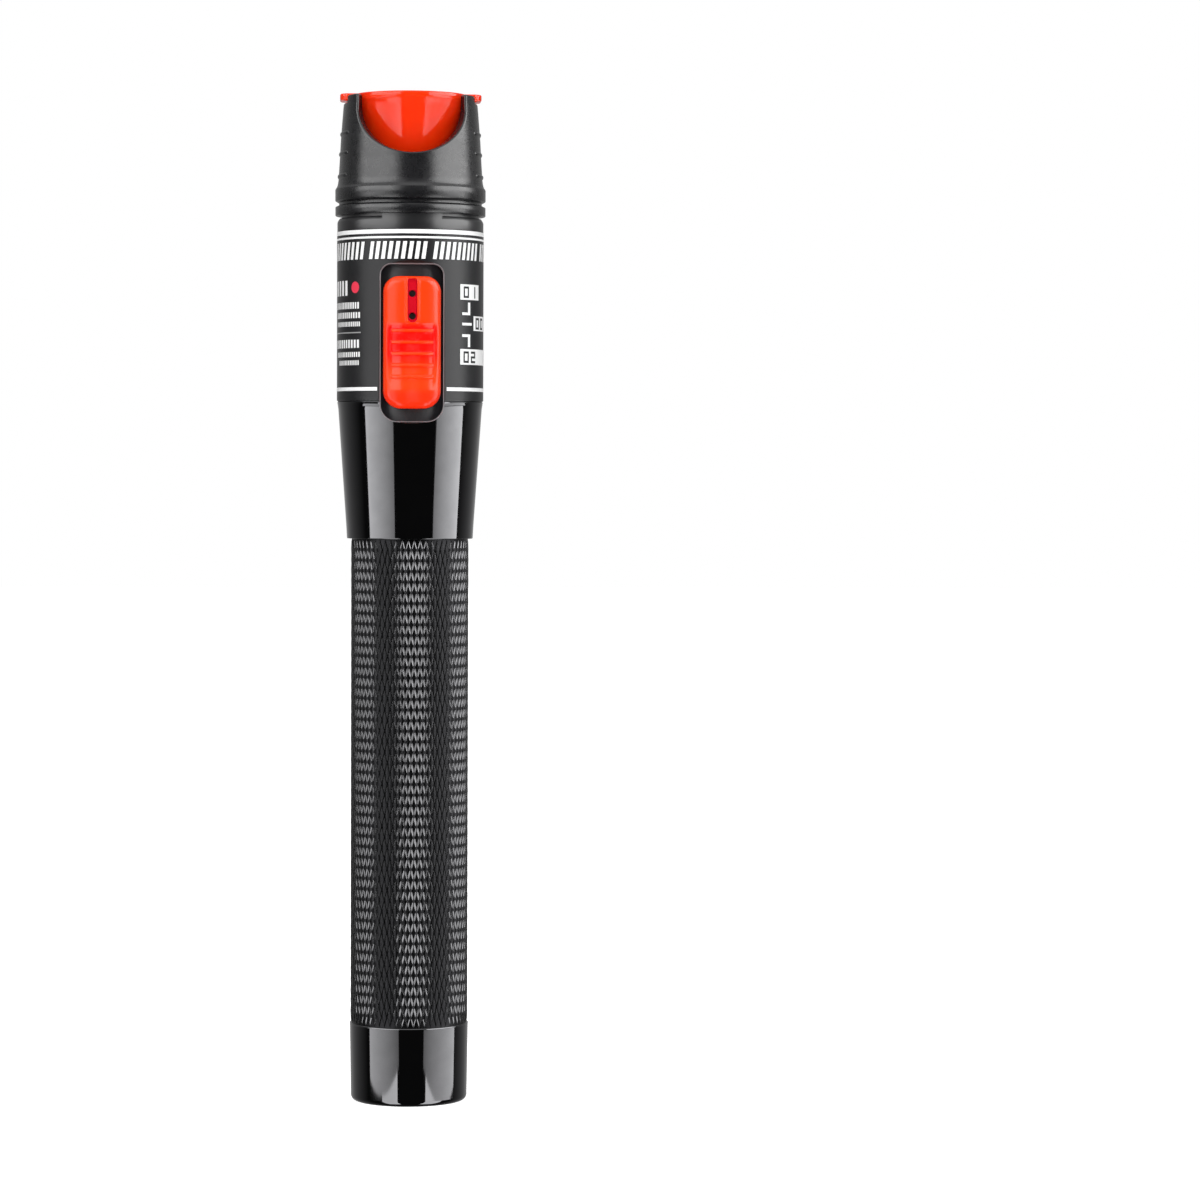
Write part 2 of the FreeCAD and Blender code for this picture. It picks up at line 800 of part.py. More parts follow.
def crowned_block(body):
    """A bar with the button's section: straight sides, round edges and a crowned front."""
    middle = "button_crown - button_face"
    edge_x = "(button_half_width - button_edge_round)"
    edge_y = "sqrt((button_crown - button_edge_round)^2 - " + edge_x + "^2)"
    spread = " * button_crown / (button_crown - button_edge_round)"
    section = new_sketch(body, "XY_Plane")
    section.AttachmentOffset = FreeCAD.Placement(Vector(0, 0, size_of("button_foot - 1")), FreeCAD.Rotation())
    section.setExpression("AttachmentOffset.Base.z", linked("button_foot - 1"))
    draw_outline(section, [
        ("-button_half_width", "-7"),
        ("-button_half_width", middle + " - " + edge_y, "button_edge_round"),
        ("-" + edge_x + spread, middle + " - " + edge_y + spread, "button_crown"),
        (edge_x + spread, middle + " - " + edge_y + spread, "button_edge_round"),
        ("button_half_width", middle + " - " + edge_y),
        ("button_half_width", "-7"),
    ])
    bar = feature(body, "Pad", section)
    bar.Length = size_of("button_head - button_foot + 2")
    bar.setExpression("Length", linked("button_head - button_foot + 2"))
    doc.recompute()


def round_ends(body):
    """Rounds the front edges of the button's head and foot."""
    front = "-(button_face - button_edge_round)"
    sketch = new_sketch(body, "YZ_Plane")
    draw_outline(sketch, [
        ("-button_face - 4", "button_foot - 2"),
        (front, "button_foot - 2"),
        (front, "button_foot", "-button_edge_round - 0.05"),
        ("-button_face", "button_foot + button_edge_round"),
        ("-button_face", "button_head - button_edge_round", "-button_edge_round - 0.05"),
        (front, "button_head"),
        (front, "button_head + 2"),
        ("-button_face - 4", "button_head + 2"),
    ])
    cut = feature(body, "Pocket", sketch)
    cut.Type = "ThroughAll"
    cut.SideType = "Symmetric"
    doc.recompute()


def trim_to_outline(body):
    """Cuts the crowned bar back to the button's round-cornered outline."""
    sketch = new_sketch(body, "XZ_Plane")
    draw_outline(sketch, rectangle("-20", "button_foot - 20", "20", "button_head + 20"))
    draw_round_rectangle(
        sketch, "button_half_width", "button_foot", "button_head",
        "button_foot_round", "button_head_round")
    cut = feature(body, "Pocket", sketch)
    cut.Type = "ThroughAll"
    cut.SideType = "Symmetric"
    doc.recompute()


def button_axis(sketch):
    """Adds the upright line that the button's crowned face is turned about."""
    across = size_of("button_crown - button_face")
    ends = (Vector(across, size_of("button_foot"), 0), Vector(across, size_of("button_head"), 0))
    line = sketch.addGeometry(Part.LineSegment(*ends), True)
    for end, level in ((1, "button_foot"), (2, "button_head")):
        hold(sketch, "DistanceX", line, end, "button_crown - button_face")
        hold(sketch, "DistanceY", line, end, level)


def scoop_and_ribs(body):
    """The dished thumb rest, with five level beads across it."""
    bend = "((scoop_head - scoop_foot)^2 / 4 + scoop_depth^2) / (2 * scoop_depth)"
    scoop = new_sketch(body, "YZ_Plane")
    draw_outline(scoop, [
        ("-button_face - 1", "scoop_foot"),
        ("-button_face", "scoop_foot", bend),
        ("-button_face", "scoop_head"),
        ("-button_face - 1", "scoop_head"),
    ])
    button_axis(scoop)
    sweep(body, "Groove", scoop, "Axis0", "scoop_angle")
    ribs = new_sketch(body, "YZ_Plane")
    for n in range(5):
        level = "scoop_middle + %d * rib_pitch" % (n - 2)
        dip = "sqrt((%s)^2 - (%d * rib_pitch)^2) - (%s) + scoop_depth" % (bend, n - 2, bend)
        draw_circle(ribs, "-button_face + " + dip, level, "rib_radius")
    button_axis(ribs)
    sweep(body, "Revolution", ribs, "Axis0", "scoop_angle - 3")


def button_groove(body):
    """The sunk mark above the scoop, with its two small holes."""
    groove = new_sketch(body, "XZ_Plane")
    draw_round_rectangle(groove, "groove_half_width", "groove_foot", "groove_head", "0.8", "0.15")
    floor = new_sketch(body, "XZ_Plane")
    draw_circle(floor, "0", "groove_head - 2.5", "0.6")
    draw_circle(floor, "0", "groove_foot + 1.1", "0.6")
    for sketch, depth in ((groove, "button_face - 0.45"), (floor, "button_face - 1.4")):
        sketch.AttachmentOffset = FreeCAD.Placement(
            Vector(0, 0, size_of(depth)), FreeCAD.Rotation())
        sketch.setExpression("AttachmentOffset.Base.z", linked(depth))
        cut_front(body, sketch, "5")


def button_stem(body):
    """The block behind the button that reaches through the plate and holds the lever."""
    stem = new_sketch(body, "XZ_Plane")
    stem.AttachmentOffset = FreeCAD.Placement(Vector(0, 0, size_of("stem_back")), FreeCAD.Rotation())
    stem.setExpression("AttachmentOffset.Base.z", linked("stem_back"))
    draw_outline(stem, rectangle(
        "-stem_half_width", "lever_middle - stem_half_length",
        "stem_half_width", "lever_middle + stem_half_length"))
    pad = feature(body, "Pad", stem)
    pad.Length = size_of("stem_length")
    pad.setExpression("Length", linked("stem_length"))
    doc.recompute()
    socket = new_sketch(body, "XZ_Plane")
    draw_outline(socket, rectangle(
        "-lever_half_width - 0.03", "lever_middle - lever_half_length - 0.03",
        "lever_half_width + 0.03", "lever_middle + lever_half_length + 0.03"))
    cut_front(body, socket, "9.2")


# ---------------------------------------------------------------- laser and port

def laser_module_housing():
    """The brass tube that holds diode and lens, hung by its flange on the housing's web."""
    body = new_body("laser_module_housing")
    turn(body, [
        ("2.85", "module_foot"),
        ("module_radius", "module_foot"),
        ("module_radius", "web_top"),
        ("nose_bore - 0.1", "web_top"),
        ("nose_bore - 0.1", "web_top + 0.95"),
        ("lens_radius + 0.05", "web_top + 0.95"),
        ("lens_radius + 0.05", "module_foot + 1.5"),
        ("2.85", "module_foot + 1.5"),
    ])


def laser_diode():
    """The canned diode and its three pins."""
    can = Part.makeCylinder(2.8, 1.2, Vector(0, 0, size_of("module_foot + 0.1")))
    hat = Part.makeCylinder(1.8, 1.9, Vector(0, 0, size_of("module_foot + 1.3")))
    pins = []
    for angle in (-135, -45, 90):
        spot = Vector(1.4 * math.cos(math.radians(angle)), 1.0 * math.sin(math.radians(angle)), 0)
        foot = size_of("module_foot - 3") + (1 if angle > 0 else 0)
        spot.z = foot
        pins.append(Part.makeCylinder(0.22, size_of("module_foot + 0.2") - foot, spot))
    loose_solid("laser_diode", can.multiFuse([hat] + pins).removeSplitter())


def lens_spring():
    """The wave spring that holds the lens off the diode, drawn closed up as a ring."""
    body = new_body("lens_spring")
    turn(body, rectangle("2.6", "module_foot + 1.52", "3.0", "module_foot + 3.6"))


def collimating_lens():
    """The lens, flat below and domed above."""
    base = "module_foot + 3.62"
    flat = Part.makeCylinder(size_of("lens_radius"), 0.9, Vector(0, 0, size_of(base)))
    ball = Part.makeSphere(6.0, Vector(0, 0, size_of(base) + 1.55 - 6.0))
    column = Part.makeCylinder(size_of("lens_radius"), 1.6, Vector(0, 0, size_of(base)))
    loose_solid("collimating_lens", flat.fuse(column.common(ball)).removeSplitter())


def ferrule_holder():
    """The metal port: a flange in the nose and a tube for the ferrule's sleeve."""
    body = new_body("ferrule_holder")
    turn(body, [
        ("0.8", "web_top + 0.2"),
        ("lens_radius", "web_top + 0.2"),
        ("lens_radius", "web_top + 0.97"),
        ("nose_bore - 0.1", "web_top + 0.97"),
        ("nose_bore - 0.1", "web_top + 2.6"),
        ("port_radius + 0.9", "web_top + 2.6"),
        ("port_radius + 0.9", "web_top + 5.2"),
        ("port_radius", "web_top + 5.6"),
        ("port_radius", "port_top - 0.3"),
        ("port_radius - 0.3", "port_top"),
        ("sleeve_radius + 0.02", "port_top"),
        ("sleeve_radius + 0.02", "sleeve_foot"),
        ("0.8", "sleeve_foot"),
    ])


def ceramic_sleeve():
    """The split sleeve that grips a ferrule."""
    body = new_body("ceramic_sleeve")
    turn(body, rectangle(
        "ferrule_radius", "sleeve_foot + 0.02", "sleeve_radius", "sleeve_foot + sleeve_length"))
    sketch = new_sketch(body, "XZ_Plane")
    draw_outline(sketch, rectangle("-0.15", "sleeve_foot - 1", "0.15", "sleeve_foot + sleeve_length + 1"))
    cut_front(body, sketch)


def module_retainer():
    """The threaded ring that clamps the port in the nose, with two spanner slots."""
    body = new_body("module_retainer")
    turn(body, rectangle("port_radius + 1.0", "web_top + 2.62", "nose_bore - 0.05", "web_top + 4.8"))
    sketch = new_sketch(body, "YZ_Plane")
    draw_outline(sketch, rectangle("-0.7", "web_top + 3.9", "0.7", "web_top + 6"))
    slots = feature(body, "Pocket", sketch)
    slots.Type = "ThroughAll"
    slots.SideType = "Symmetric"


# ---------------------------------------------------------------- shroud and cap

SHROUD_WALL = [
    ("shroud_radius - 0.12", "shroud_foot"),
    ("shroud_radius - 0.02", "shroud_foot + 0.2"),
    ("shroud_radius - 0.02", "shroud_foot + 1.5"),
    ("shroud_radius - 0.67", "shroud_foot + 1.9"),
    ("shroud_radius - 0.57", "shroud_foot + 2.4"),
    ("shroud_radius", "shroud_foot + 2.6"),
    ("shroud_radius", "shroud_foot + 4.6"),
    ("shroud_radius - 0.36", "shroud_foot + 5.1"),
    ("shroud_radius - 0.52", "shroud_foot + 5.8"),
    ("shroud_radius - 0.75", "shroud_foot + 9.4"),
    ("shroud_radius - 0.93", "shroud_foot + 12.9"),
    ("shroud_radius - 1.33", "shroud_foot + 18"),
    ("shroud_radius - 1.47", "shroud_foot + 19.4"),
    ("shroud_radius - 1.49", "shroud_top - ear_round", "ear_round"),
    ("shroud_radius - 1.49 - ear_round", "shroud_top"),
]


def head_shroud():
    """The cup round the port: turned wall, two radial scallops, ear notches and grip beads."""
    wall = new_body("shroud_wall", is_node=False)
    turn(wall, SHROUD_WALL + [
        ("shroud_bore", "shroud_top"),
        ("shroud_bore", "shroud_floor"),
        ("port_radius + 1.6", "shroud_floor"),
        ("port_radius + 1.6", "nose_top + 0.05"),
        ("nose_radius + fit_gap", "nose_top + 0.05"),
        ("nose_radius + fit_gap", "shroud_foot + 3.75"),
        ("nose_radius - 0.2", "shroud_foot + 3.6"),
        ("nose_radius - 0.2", "shroud_foot + 3.4"),
        ("nose_radius + fit_gap", "shroud_foot + 3.25"),
        ("nose_radius + fit_gap", "shroud_foot"),
    ])
    for height, inset in (("bead_low", "0.62"), ("bead_middle", "0.88"), ("bead_high", "1.08")):
        grip_bead(wall, height, inset)
    ear_notches(wall)
    front = plain_feature("scallop_front", scallop_tool())
    back = plain_feature("scallop_back", scallop_tool())
    back.Placement.Rotation = FreeCAD.Rotation(Vector(0, 0, 1), 180)
    nodes.append(combined("Cut", "head_shroud", combined("Cut", "shroud_front_cut", wall, front), back))


def grip_bead(body, height, inset):
    """A rounded bead along each side of the shroud, for the fingers."""
    sketch = new_sketch(body, "XZ_Plane")
    draw_circle(sketch, "shroud_radius - 0.28 - " + inset, height, "bead_radius")
    bead = sweep(body, "Revolution", sketch, "V_Axis", "grip_angle")
    pair = body.newObject("PartDesign::PolarPattern", body.Name + "_pair")
    pair.Originals = [bead]
    pair.Axis = (sketch, ["V_Axis"])
    pair.Angle = 360
    pair.Occurrences = 2
    body.Tip = pair
    doc.recompute()


def ear_notches(body):
    """The two notches in the ears that the cap's wings lie in."""
    sketch = new_sketch(body, "YZ_Plane")
    draw_outline(sketch, rectangle(
        "-wing_half_width - 0.25", "cap_rim_foot - 0.35", "wing_half_width + 0.25", "shroud_top + 1"))
    notch = feature(body, "Pocket", sketch)
    notch.Type = "ThroughAll"
    notch.SideType = "Symmetric"
    doc.recompute()


def scallop_tool():
    """A scoop whose edges run straight out from the axis, open at the top.

    Its rim follows a half circle in front view where it meets the shroud's bore.
    """
    steps = 12
    inner = size_of("shroud_bore")
    bend = size_of("scallop_radius")
    middle = size_of("scallop_middle")
    rims = []
    for reach in (inner - 2.5, inner + 6):
        spots = []
        for n in range(-steps, steps + 1):
            swing = math.radians(84 * n / steps)
            aim = math.asin(bend * math.sin(swing) / inner)
            spots.append(Vector(
                reach * math.sin(aim), -reach * math.cos(aim), middle - bend * math.cos(swing)))
        curve = Part.BSplineCurve()
        curve.interpolate(spots)
        rims.append(curve.toShape())
    floor = Part.makeRuledSurface(rims[0], rims[1])
    return floor.extrude(Vector(0, 0, 20))


def dust_cap():
    """The red plug over the port: a cone under a flat rim, with two wings to pull it by."""
    body = new_body("dust_cap")
    turn(body, [
        ("port_radius + 0.08", "cap_foot"),
        ("cap_foot_radius", "cap_foot", "cap_bend"),
        ("cap_neck_radius", "cap_rim_foot - 0.45"),
        ("cap_rim_radius", "cap_rim_foot"),
        ("cap_rim_radius", "cap_top - 0.25"),
        ("cap_rim_radius - 0.25", "cap_top"),
        ("cap_rim_radius - 1.1", "cap_top"),
        ("cap_rim_radius - 1.6", "cap_top - 0.6"),
        ("0", "cap_top - 0.6"),
        ("0", "port_top + 0.05"),
        ("port_radius + 0.08", "port_top + 0.05"),
    ])
    wings = new_sketch(body, "XY_Plane")
    wings.AttachmentOffset = FreeCAD.Placement(Vector(0, 0, size_of("cap_rim_foot")), FreeCAD.Rotation())
    wings.setExpression("AttachmentOffset.Base.z", linked("cap_rim_foot"))
    for side in ("-", ""):
        draw_outline(wings, rectangle(
            side + "(cap_rim_radius - 1)", "-wing_half_width", side + "wing_reach", "wing_half_width"))
    pad = feature(body, "Pad", wings)
    thick = "cap_top - cap_rim_foot - 0.02"
    pad.Length = size_of(thick)
    pad.setExpression("Length", linked(thick))
    doc.recompute()

    def wing_corner(middle, edge):
        upright = abs(edge.tangentAt(edge.FirstParameter).z) > 0.99
        return upright and abs(middle.x) > size_of("wing_reach - 0.1")
    round_edges(body, edges_where(body, wing_corner), "1.6")


# ---------------------------------------------------------------- build, check and write

def build():
    tail_cap()
    tail_o_ring()
    tail_contact()
    tail_spring()
    battery("battery_rear", "cell_foot")
    battery("battery_front", "cell_foot + cell_length")
    barrel_tube()
    taper_collar()
    upper_housing()
    label_sleeve()
    contact_holder()
    front_contact()
    circuit_board()
    driver_chip()
    chip_resistors()
    supply_capacitor()
    slide_switch_body()
    slide_switch_lever()
    switch_slide_plate()
    switch_button()
    laser_module_housing()
    laser_diode()
    lens_spring()
    collimating_lens()
    ferrule_holder()
    ceramic_sleeve()
    module_retainer()
    head_shroud()
    dust_cap()


def check_and_write():
    doc.recompute()
    for item in doc.Objects:
        if "Invalid" in item.State or "Error" in item.State:
            raise RuntimeError("%s did not build: %s" % (item.Label, item.State))
    for node in nodes:
        if node.Shape.isNull() or not node.Shape.isValid() or not node.Shape.Solids:
            raise RuntimeError("%s has no valid solid" % node.Label)
    os.makedirs("parts", exist_ok=True)
    for node in nodes:
        node.Shape.exportStep("parts/%s.step" % node.Label)
        box = node.Shape.BoundBox
        print("%-22s %2d solid  %9.1f mm3  z %7.2f to %7.2f  r %5.2f" % (
            node.Label, len(node.Shape.Solids), node.Shape.Volume, box.ZMin, box.ZMax,
            max(box.XMax, -box.YMin)))


build()
check_and_write()
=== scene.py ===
# %% [markdown]
# # A pen-shaped visual fault locator
# The real thing is an anodised aluminium torch that sends red laser light down a fibre.
# Its moving pieces - slide button, dust cap and tail cap - already exist as solids in the
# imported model.  This notebook dresses them: turned skins with fine bevels, a knurled grip,
# a printed label, and a white studio whose tall softboxes mirror in the polished metal.
# Outlines are written in millimetres, and MM turns them into Blender's metres.

import math

import bmesh
import bpy
import numpy as np
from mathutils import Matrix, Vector


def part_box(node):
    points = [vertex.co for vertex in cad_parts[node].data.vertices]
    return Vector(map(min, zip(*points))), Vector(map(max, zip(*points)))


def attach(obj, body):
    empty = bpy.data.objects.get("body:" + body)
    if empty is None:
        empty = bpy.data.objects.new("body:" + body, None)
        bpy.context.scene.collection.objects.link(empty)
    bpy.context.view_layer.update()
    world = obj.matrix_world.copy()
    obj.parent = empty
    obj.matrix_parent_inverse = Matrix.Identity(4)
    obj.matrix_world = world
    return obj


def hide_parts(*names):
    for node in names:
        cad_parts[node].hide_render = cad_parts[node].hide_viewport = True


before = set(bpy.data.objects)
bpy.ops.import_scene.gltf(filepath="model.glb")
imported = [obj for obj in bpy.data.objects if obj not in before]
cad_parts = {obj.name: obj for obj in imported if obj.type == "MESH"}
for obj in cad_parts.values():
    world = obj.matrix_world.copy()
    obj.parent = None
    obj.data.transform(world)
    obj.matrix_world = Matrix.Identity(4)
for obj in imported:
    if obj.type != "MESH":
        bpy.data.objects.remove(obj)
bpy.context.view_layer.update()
MM = 0.001

# %% [markdown]
# ## Where things are
# A CAD node keeps its place in its own vertices, so its box tells where it stands.  Three
# small helpers read heights and radii from it, in millimetres, so that the skins below
# follow the solids they cover.

# %% Read heights and radii from the frame


def foot(node):
    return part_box(node)[0][2] / MM


def head(node):
    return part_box(node)[1][2] / MM


def reach(node):
    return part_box(node)[1][0] / MM


tail_top = foot("barrel_tube")
collar_foot = foot("taper_collar")
collar_top = head("taper_collar")
label_top = head("label_sleeve")
shroud_foot = foot("head_shroud")
shroud_top = head("head_shroud")
cap_top = head("dust_cap")
label_radius = reach("label_sleeve")
print("tail %.2f  collar %.2f to %.2f  shroud %.2f to %.2f" % (
    tail_top, collar_foot, collar_top, shroud_foot, shroud_top))

# %% [markdown]
# ## Finishes
# Every finish is a Principled shader with two layers of detail on Object coordinates: a
# noise that moves the roughness a little, as handling does, and a finer one that lifts the
# surface.  Plain numbers sit on the shader's own sockets, so an export keeps them.

# %% A helper for finishes
GRAIN_DEPTH = 0.00005


def finish(name, colour, roughness, metallic=0.0, specular=0.5,
           patch=400.0, spread=0.05, grain=6000.0, lift=0.02, tint=0.12):
    """A material whose roughness, colour and surface vary a little over the piece."""
    material = bpy.data.materials.new(name)
    material.use_nodes = True
    tree = material.node_tree
    shader = tree.nodes["Principled BSDF"]
    shader.inputs["Metallic"].default_value = metallic
    shader.inputs["Specular IOR Level"].default_value = specular
    place = tree.nodes.new("ShaderNodeTexCoord")

    def noise(scale, detail):
        made = tree.nodes.new("ShaderNodeTexNoise")
        made.inputs["Scale"].default_value = scale
        made.inputs["Detail"].default_value = detail
        tree.links.new(place.outputs["Object"], made.inputs["Vector"])
        return made.outputs["Fac"]

    handled = noise(patch, 4.0)
    level = tree.nodes.new("ShaderNodeMapRange")
    level.inputs["To Min"].default_value = max(roughness - spread, 0.0)
    level.inputs["To Max"].default_value = min(roughness + spread, 1.0)
    tree.links.new(handled, level.inputs["Value"])
    tree.links.new(level.outputs["Result"], shader.inputs["Roughness"])
    shade = tree.nodes.new("ShaderNodeMix")
    shade.data_type = "RGBA"
    shade.inputs["A"].default_value = [c * (1.0 - tint) for c in colour] + [1.0]
    shade.inputs["B"].default_value = [min(c * (1.0 + tint), 1.0) for c in colour] + [1.0]
    tree.links.new(handled, shade.inputs["Factor"])
    tree.links.new(shade.outputs["Result"], shader.inputs["Base Color"])
    if lift:
        bump = tree.nodes.new("ShaderNodeBump")
        bump.inputs["Strength"].default_value = lift
        bump.inputs["Distance"].default_value = GRAIN_DEPTH
        tree.links.new(noise(grain, 2.0), bump.inputs["Height"])
        tree.links.new(bump.outputs["Normal"], shader.inputs["Normal"])
    return material


def mix_painted_shade(material, colour, attribute):
    """Mixes a deeper colour, a painted shade, into a finish where the mesh's attribute is 1."""
    tree = material.node_tree
    shader = tree.nodes["Principled BSDF"]
    plain = shader.inputs["Base Color"].links[0].from_socket
    place = tree.nodes.new("ShaderNodeAttribute")
    place.attribute_name = attribute
    mix = tree.nodes.new("ShaderNodeMix")
    mix.data_type = "RGBA"
    mix.inputs["B"].default_value = [*colour, 1.0]
    tree.links.new(place.outputs["Fac"], mix.inputs["Factor"])
    tree.links.new(plain, mix.inputs["A"])
    tree.links.new(mix.outputs["Result"], shader.inputs["Base Color"])


# %% [markdown]
# The colours are written as they look.  Polished black anodising is a metal, so it mirrors
# the softboxes.  The knurl has a softer black on its tips and a brighter metal on its cut
# sides.  The label is matt film and the shroud satin.  The reds are two plastics: a clear
# one for the button, with a darker red in its sunk mark and a painted shade in its thumb
# rest, and a waxy one for the cap, which light enters a little before it comes out again.

# %% The finishes of the metal and the film
gloss_black = finish(
    "gloss_black", (0.085, 0.085, 0.088), 0.05, metallic=1.0, spread=0.01, lift=0.0)
knurl_black = finish(
    "knurl_black", (0.016, 0.016, 0.017), 0.36, metallic=1.0, spread=0.06, lift=0.1)
knurl_bright = finish(
    "knurl_bright", (0.095, 0.095, 0.098), 0.2, metallic=1.0, spread=0.05, lift=0.1)
housing_black = finish("housing_black", (0.008, 0.008, 0.009), 0.3, spread=0.05, lift=0.06)
label_black = finish(
    "label_black", (0.009, 0.009, 0.01), 0.33, specular=0.25, spread=0.03, lift=0.08)
shroud_black = finish(
    "shroud_black", (0.006, 0.006, 0.007), 0.28, specular=0.5, spread=0.08, patch=900.0, lift=0.2)
slot_wall = finish("slot_wall", (0.01, 0.01, 0.01), 0.5, specular=0.2, lift=0.0)
# The slot's bevel is a light grey: a painted highlight for the bright reflection along its rim.
painted_bevel_highlight = finish(
    "painted_bevel_highlight", (0.2, 0.2, 0.21), 0.5, specular=0.3, spread=0.05, lift=0.0)
plate_black = finish("plate_black", (0.02, 0.02, 0.023), 0.4, spread=0.05, lift=0.1)

# %% The finishes of the red plastics and the print
button_red = finish(
    "button_red", (1.0, 0.046, 0.003), 0.17, specular=0.27, spread=0.04, tint=0.03, lift=0.05)
# The deeper red is a painted shade on the thumb rest's head between the ribs and on the foot.
mix_painted_shade(button_red, (0.95, 0.003, 0.0005), "thumb_rest_painted_shade")
groove_red = finish(
    "groove_red", (0.55, 0.001, 0.012), 0.35, specular=0.05, spread=0.04, tint=0.04, lift=0.04)
cap_red = finish(
    "cap_red", (1.0, 0.034, 0.002), 0.14, specular=0.3, spread=0.04, tint=0.04, lift=0.05)
cap_shader = cap_red.node_tree.nodes["Principled BSDF"]
for socket, value in (("Weight", 0.5), ("Radius", (1.0, 0.15, 0.08)), ("Scale", 0.003)):
    cap_shader.inputs["Subsurface " + socket].default_value = value
print_white = finish("print_white", (0.9, 0.9, 0.9), 0.45, spread=0.03, tint=0.02, lift=0.05)
print_grey = finish("print_grey", (0.3, 0.3, 0.3), 0.45, spread=0.03, tint=0.02, lift=0.05)
print_red = finish("print_red", (0.75, 0.01, 0.05), 0.45, spread=0.03, tint=0.04, lift=0.05)
# Near black in the button's two shallow holes: a painted shade.
hole_painted_shade = finish("hole_painted_shade", (0.006, 0.002, 0.002), 0.6, lift=0.0)

# %% The finishes of the inner pieces
brass = finish("brass", (0.78, 0.57, 0.26), 0.25, metallic=1.0)
steel = finish("steel", (0.6, 0.6, 0.62), 0.3, metallic=1.0)
nickel = finish("nickel", (0.72, 0.71, 0.69), 0.15, metallic=1.0)
zirconia = finish("zirconia", (0.9, 0.9, 0.87), 0.2, tint=0.02)
cell_wrap = finish("cell_wrap", (0.07, 0.2, 0.45), 0.25)
board_green = finish("board_green", (0.02, 0.2, 0.07), 0.3)
chip_black = finish("chip_black", (0.02, 0.02, 0.02), 0.5)
insulator = finish("insulator", (0.8, 0.8, 0.77), 0.5)
ring_rubber = finish("ring_rubber", (0.02, 0.02, 0.02), 0.6)
lens_glass = finish("lens_glass", (0.85, 0.9, 0.95), 0.05, lift=0.0)
print("finishes:", len(bpy.data.materials))

# %% [markdown]
# ## Turned skins
# Most pieces were turned on a lathe, so one helper turns an outline of (radius, height)
# points about the axis.  A Screw modifier could do the same, but points made in code can
# meet in one pole on the axis.  The outline runs counter-clockwise, outside wall upwards,
# which makes every face point outwards.  Edges sharper than 35 degrees stay crisp.

# %% Make a piece from points


def make_piece(name, points, faces, material, sharp=35.0):
    """A mesh object from points in millimetres, shaded smooth between its sharp edges."""
    mesh = bpy.data.meshes.new(name)
    mesh.from_pydata([(x * MM, y * MM, z * MM) for x, y, z in points], [], faces)
    mesh.materials.append(material)
    mesh.validate()
    smooth_between_edges(mesh, sharp)
    piece = bpy.data.objects.new(name, mesh)
    bpy.context.scene.collection.objects.link(piece)
    return piece


def smooth_between_edges(mesh, sharp):
    for face in mesh.polygons:
        face.use_smooth = True
    mesh.set_sharp_from_angle(angle=math.radians(sharp))


# %% A lathe
ON_AXIS = 1e-6


def lathe(outline, steps=240):
    """Points and faces of a closed outline turned about Z; points on the axis become poles."""
    points = []
    rows = []
    for radius, height in outline:
        if radius < ON_AXIS:
            rows.append([len(points)] * steps)
            points.append((0.0, 0.0, height))
            continue
        rows.append(list(range(len(points), len(points) + steps)))
        for n in range(steps):
            swing = 2 * math.pi * n / steps
            points.append((radius * math.sin(swing), -radius * math.cos(swing), height))
    faces = []
    for below, above in zip(rows, rows[1:] + rows[:1]):
        if below[0] == below[1] and above[0] == above[1]:
            continue
        for n in range(steps):
            after = (n + 1) % steps
            corners = (below[n], below[after], above[after], above[n])
            faces.append(tuple(dict.fromkeys(corners)))
    return points, faces


def turned(name, outline, material, steps=240, sharp=35.0):
    return make_piece(name, *lathe(outline, steps), material, sharp)


def rounded(centre_radius, centre_height, bend, start, end, steps=6):
    """Points on a small arc of an outline, from one angle to the other in degrees."""
    spots = []
    for n in range(steps + 1):
        swing = math.radians(start + (end - start) * n / steps)
        spots.append((
            centre_radius + bend * math.cos(swing), centre_height + bend * math.sin(swing)))
    return spots


def dress(piece, body, *nodes, slot):
    """The piece rides on a body and stands for these CAD nodes; the slot argument is not used."""
    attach(piece, body)
    if nodes:
        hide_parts(*nodes)
    print("%-18s %6d faces" % (piece.name, len(piece.data.polygons)))


# %% [markdown]
# ## Tail cap
# A polished cap that holds the cells in, with a rolled foot and a fine bright bevel at its
# rim.  Behind the rim is the threaded spigot, seen only when the cap is unscrewed.  A true
# helix would cost many faces for something so small, so the thread is cut as a row of fine
# rings, which read the same at this pitch.

# %% Turn the tail cap
TAIL_FOOT_RADIUS, TAIL_RIM_RADIUS, TAIL_ROLL, TAIL_BEVEL, TAIL_FLOOR = 9.98, 10.21, 0.95, 0.22, 2.4
SPIGOT_RADIUS, SPIGOT_BORE = 8.62, 7.4
SEAL_FOOT, SEAL_HEAD, SEAL_RADIUS = 14.4, 15.3, 7.82
THREAD_FOOT, THREAD_PITCH, THREAD_DEPTH = 15.9, 0.9, 0.3


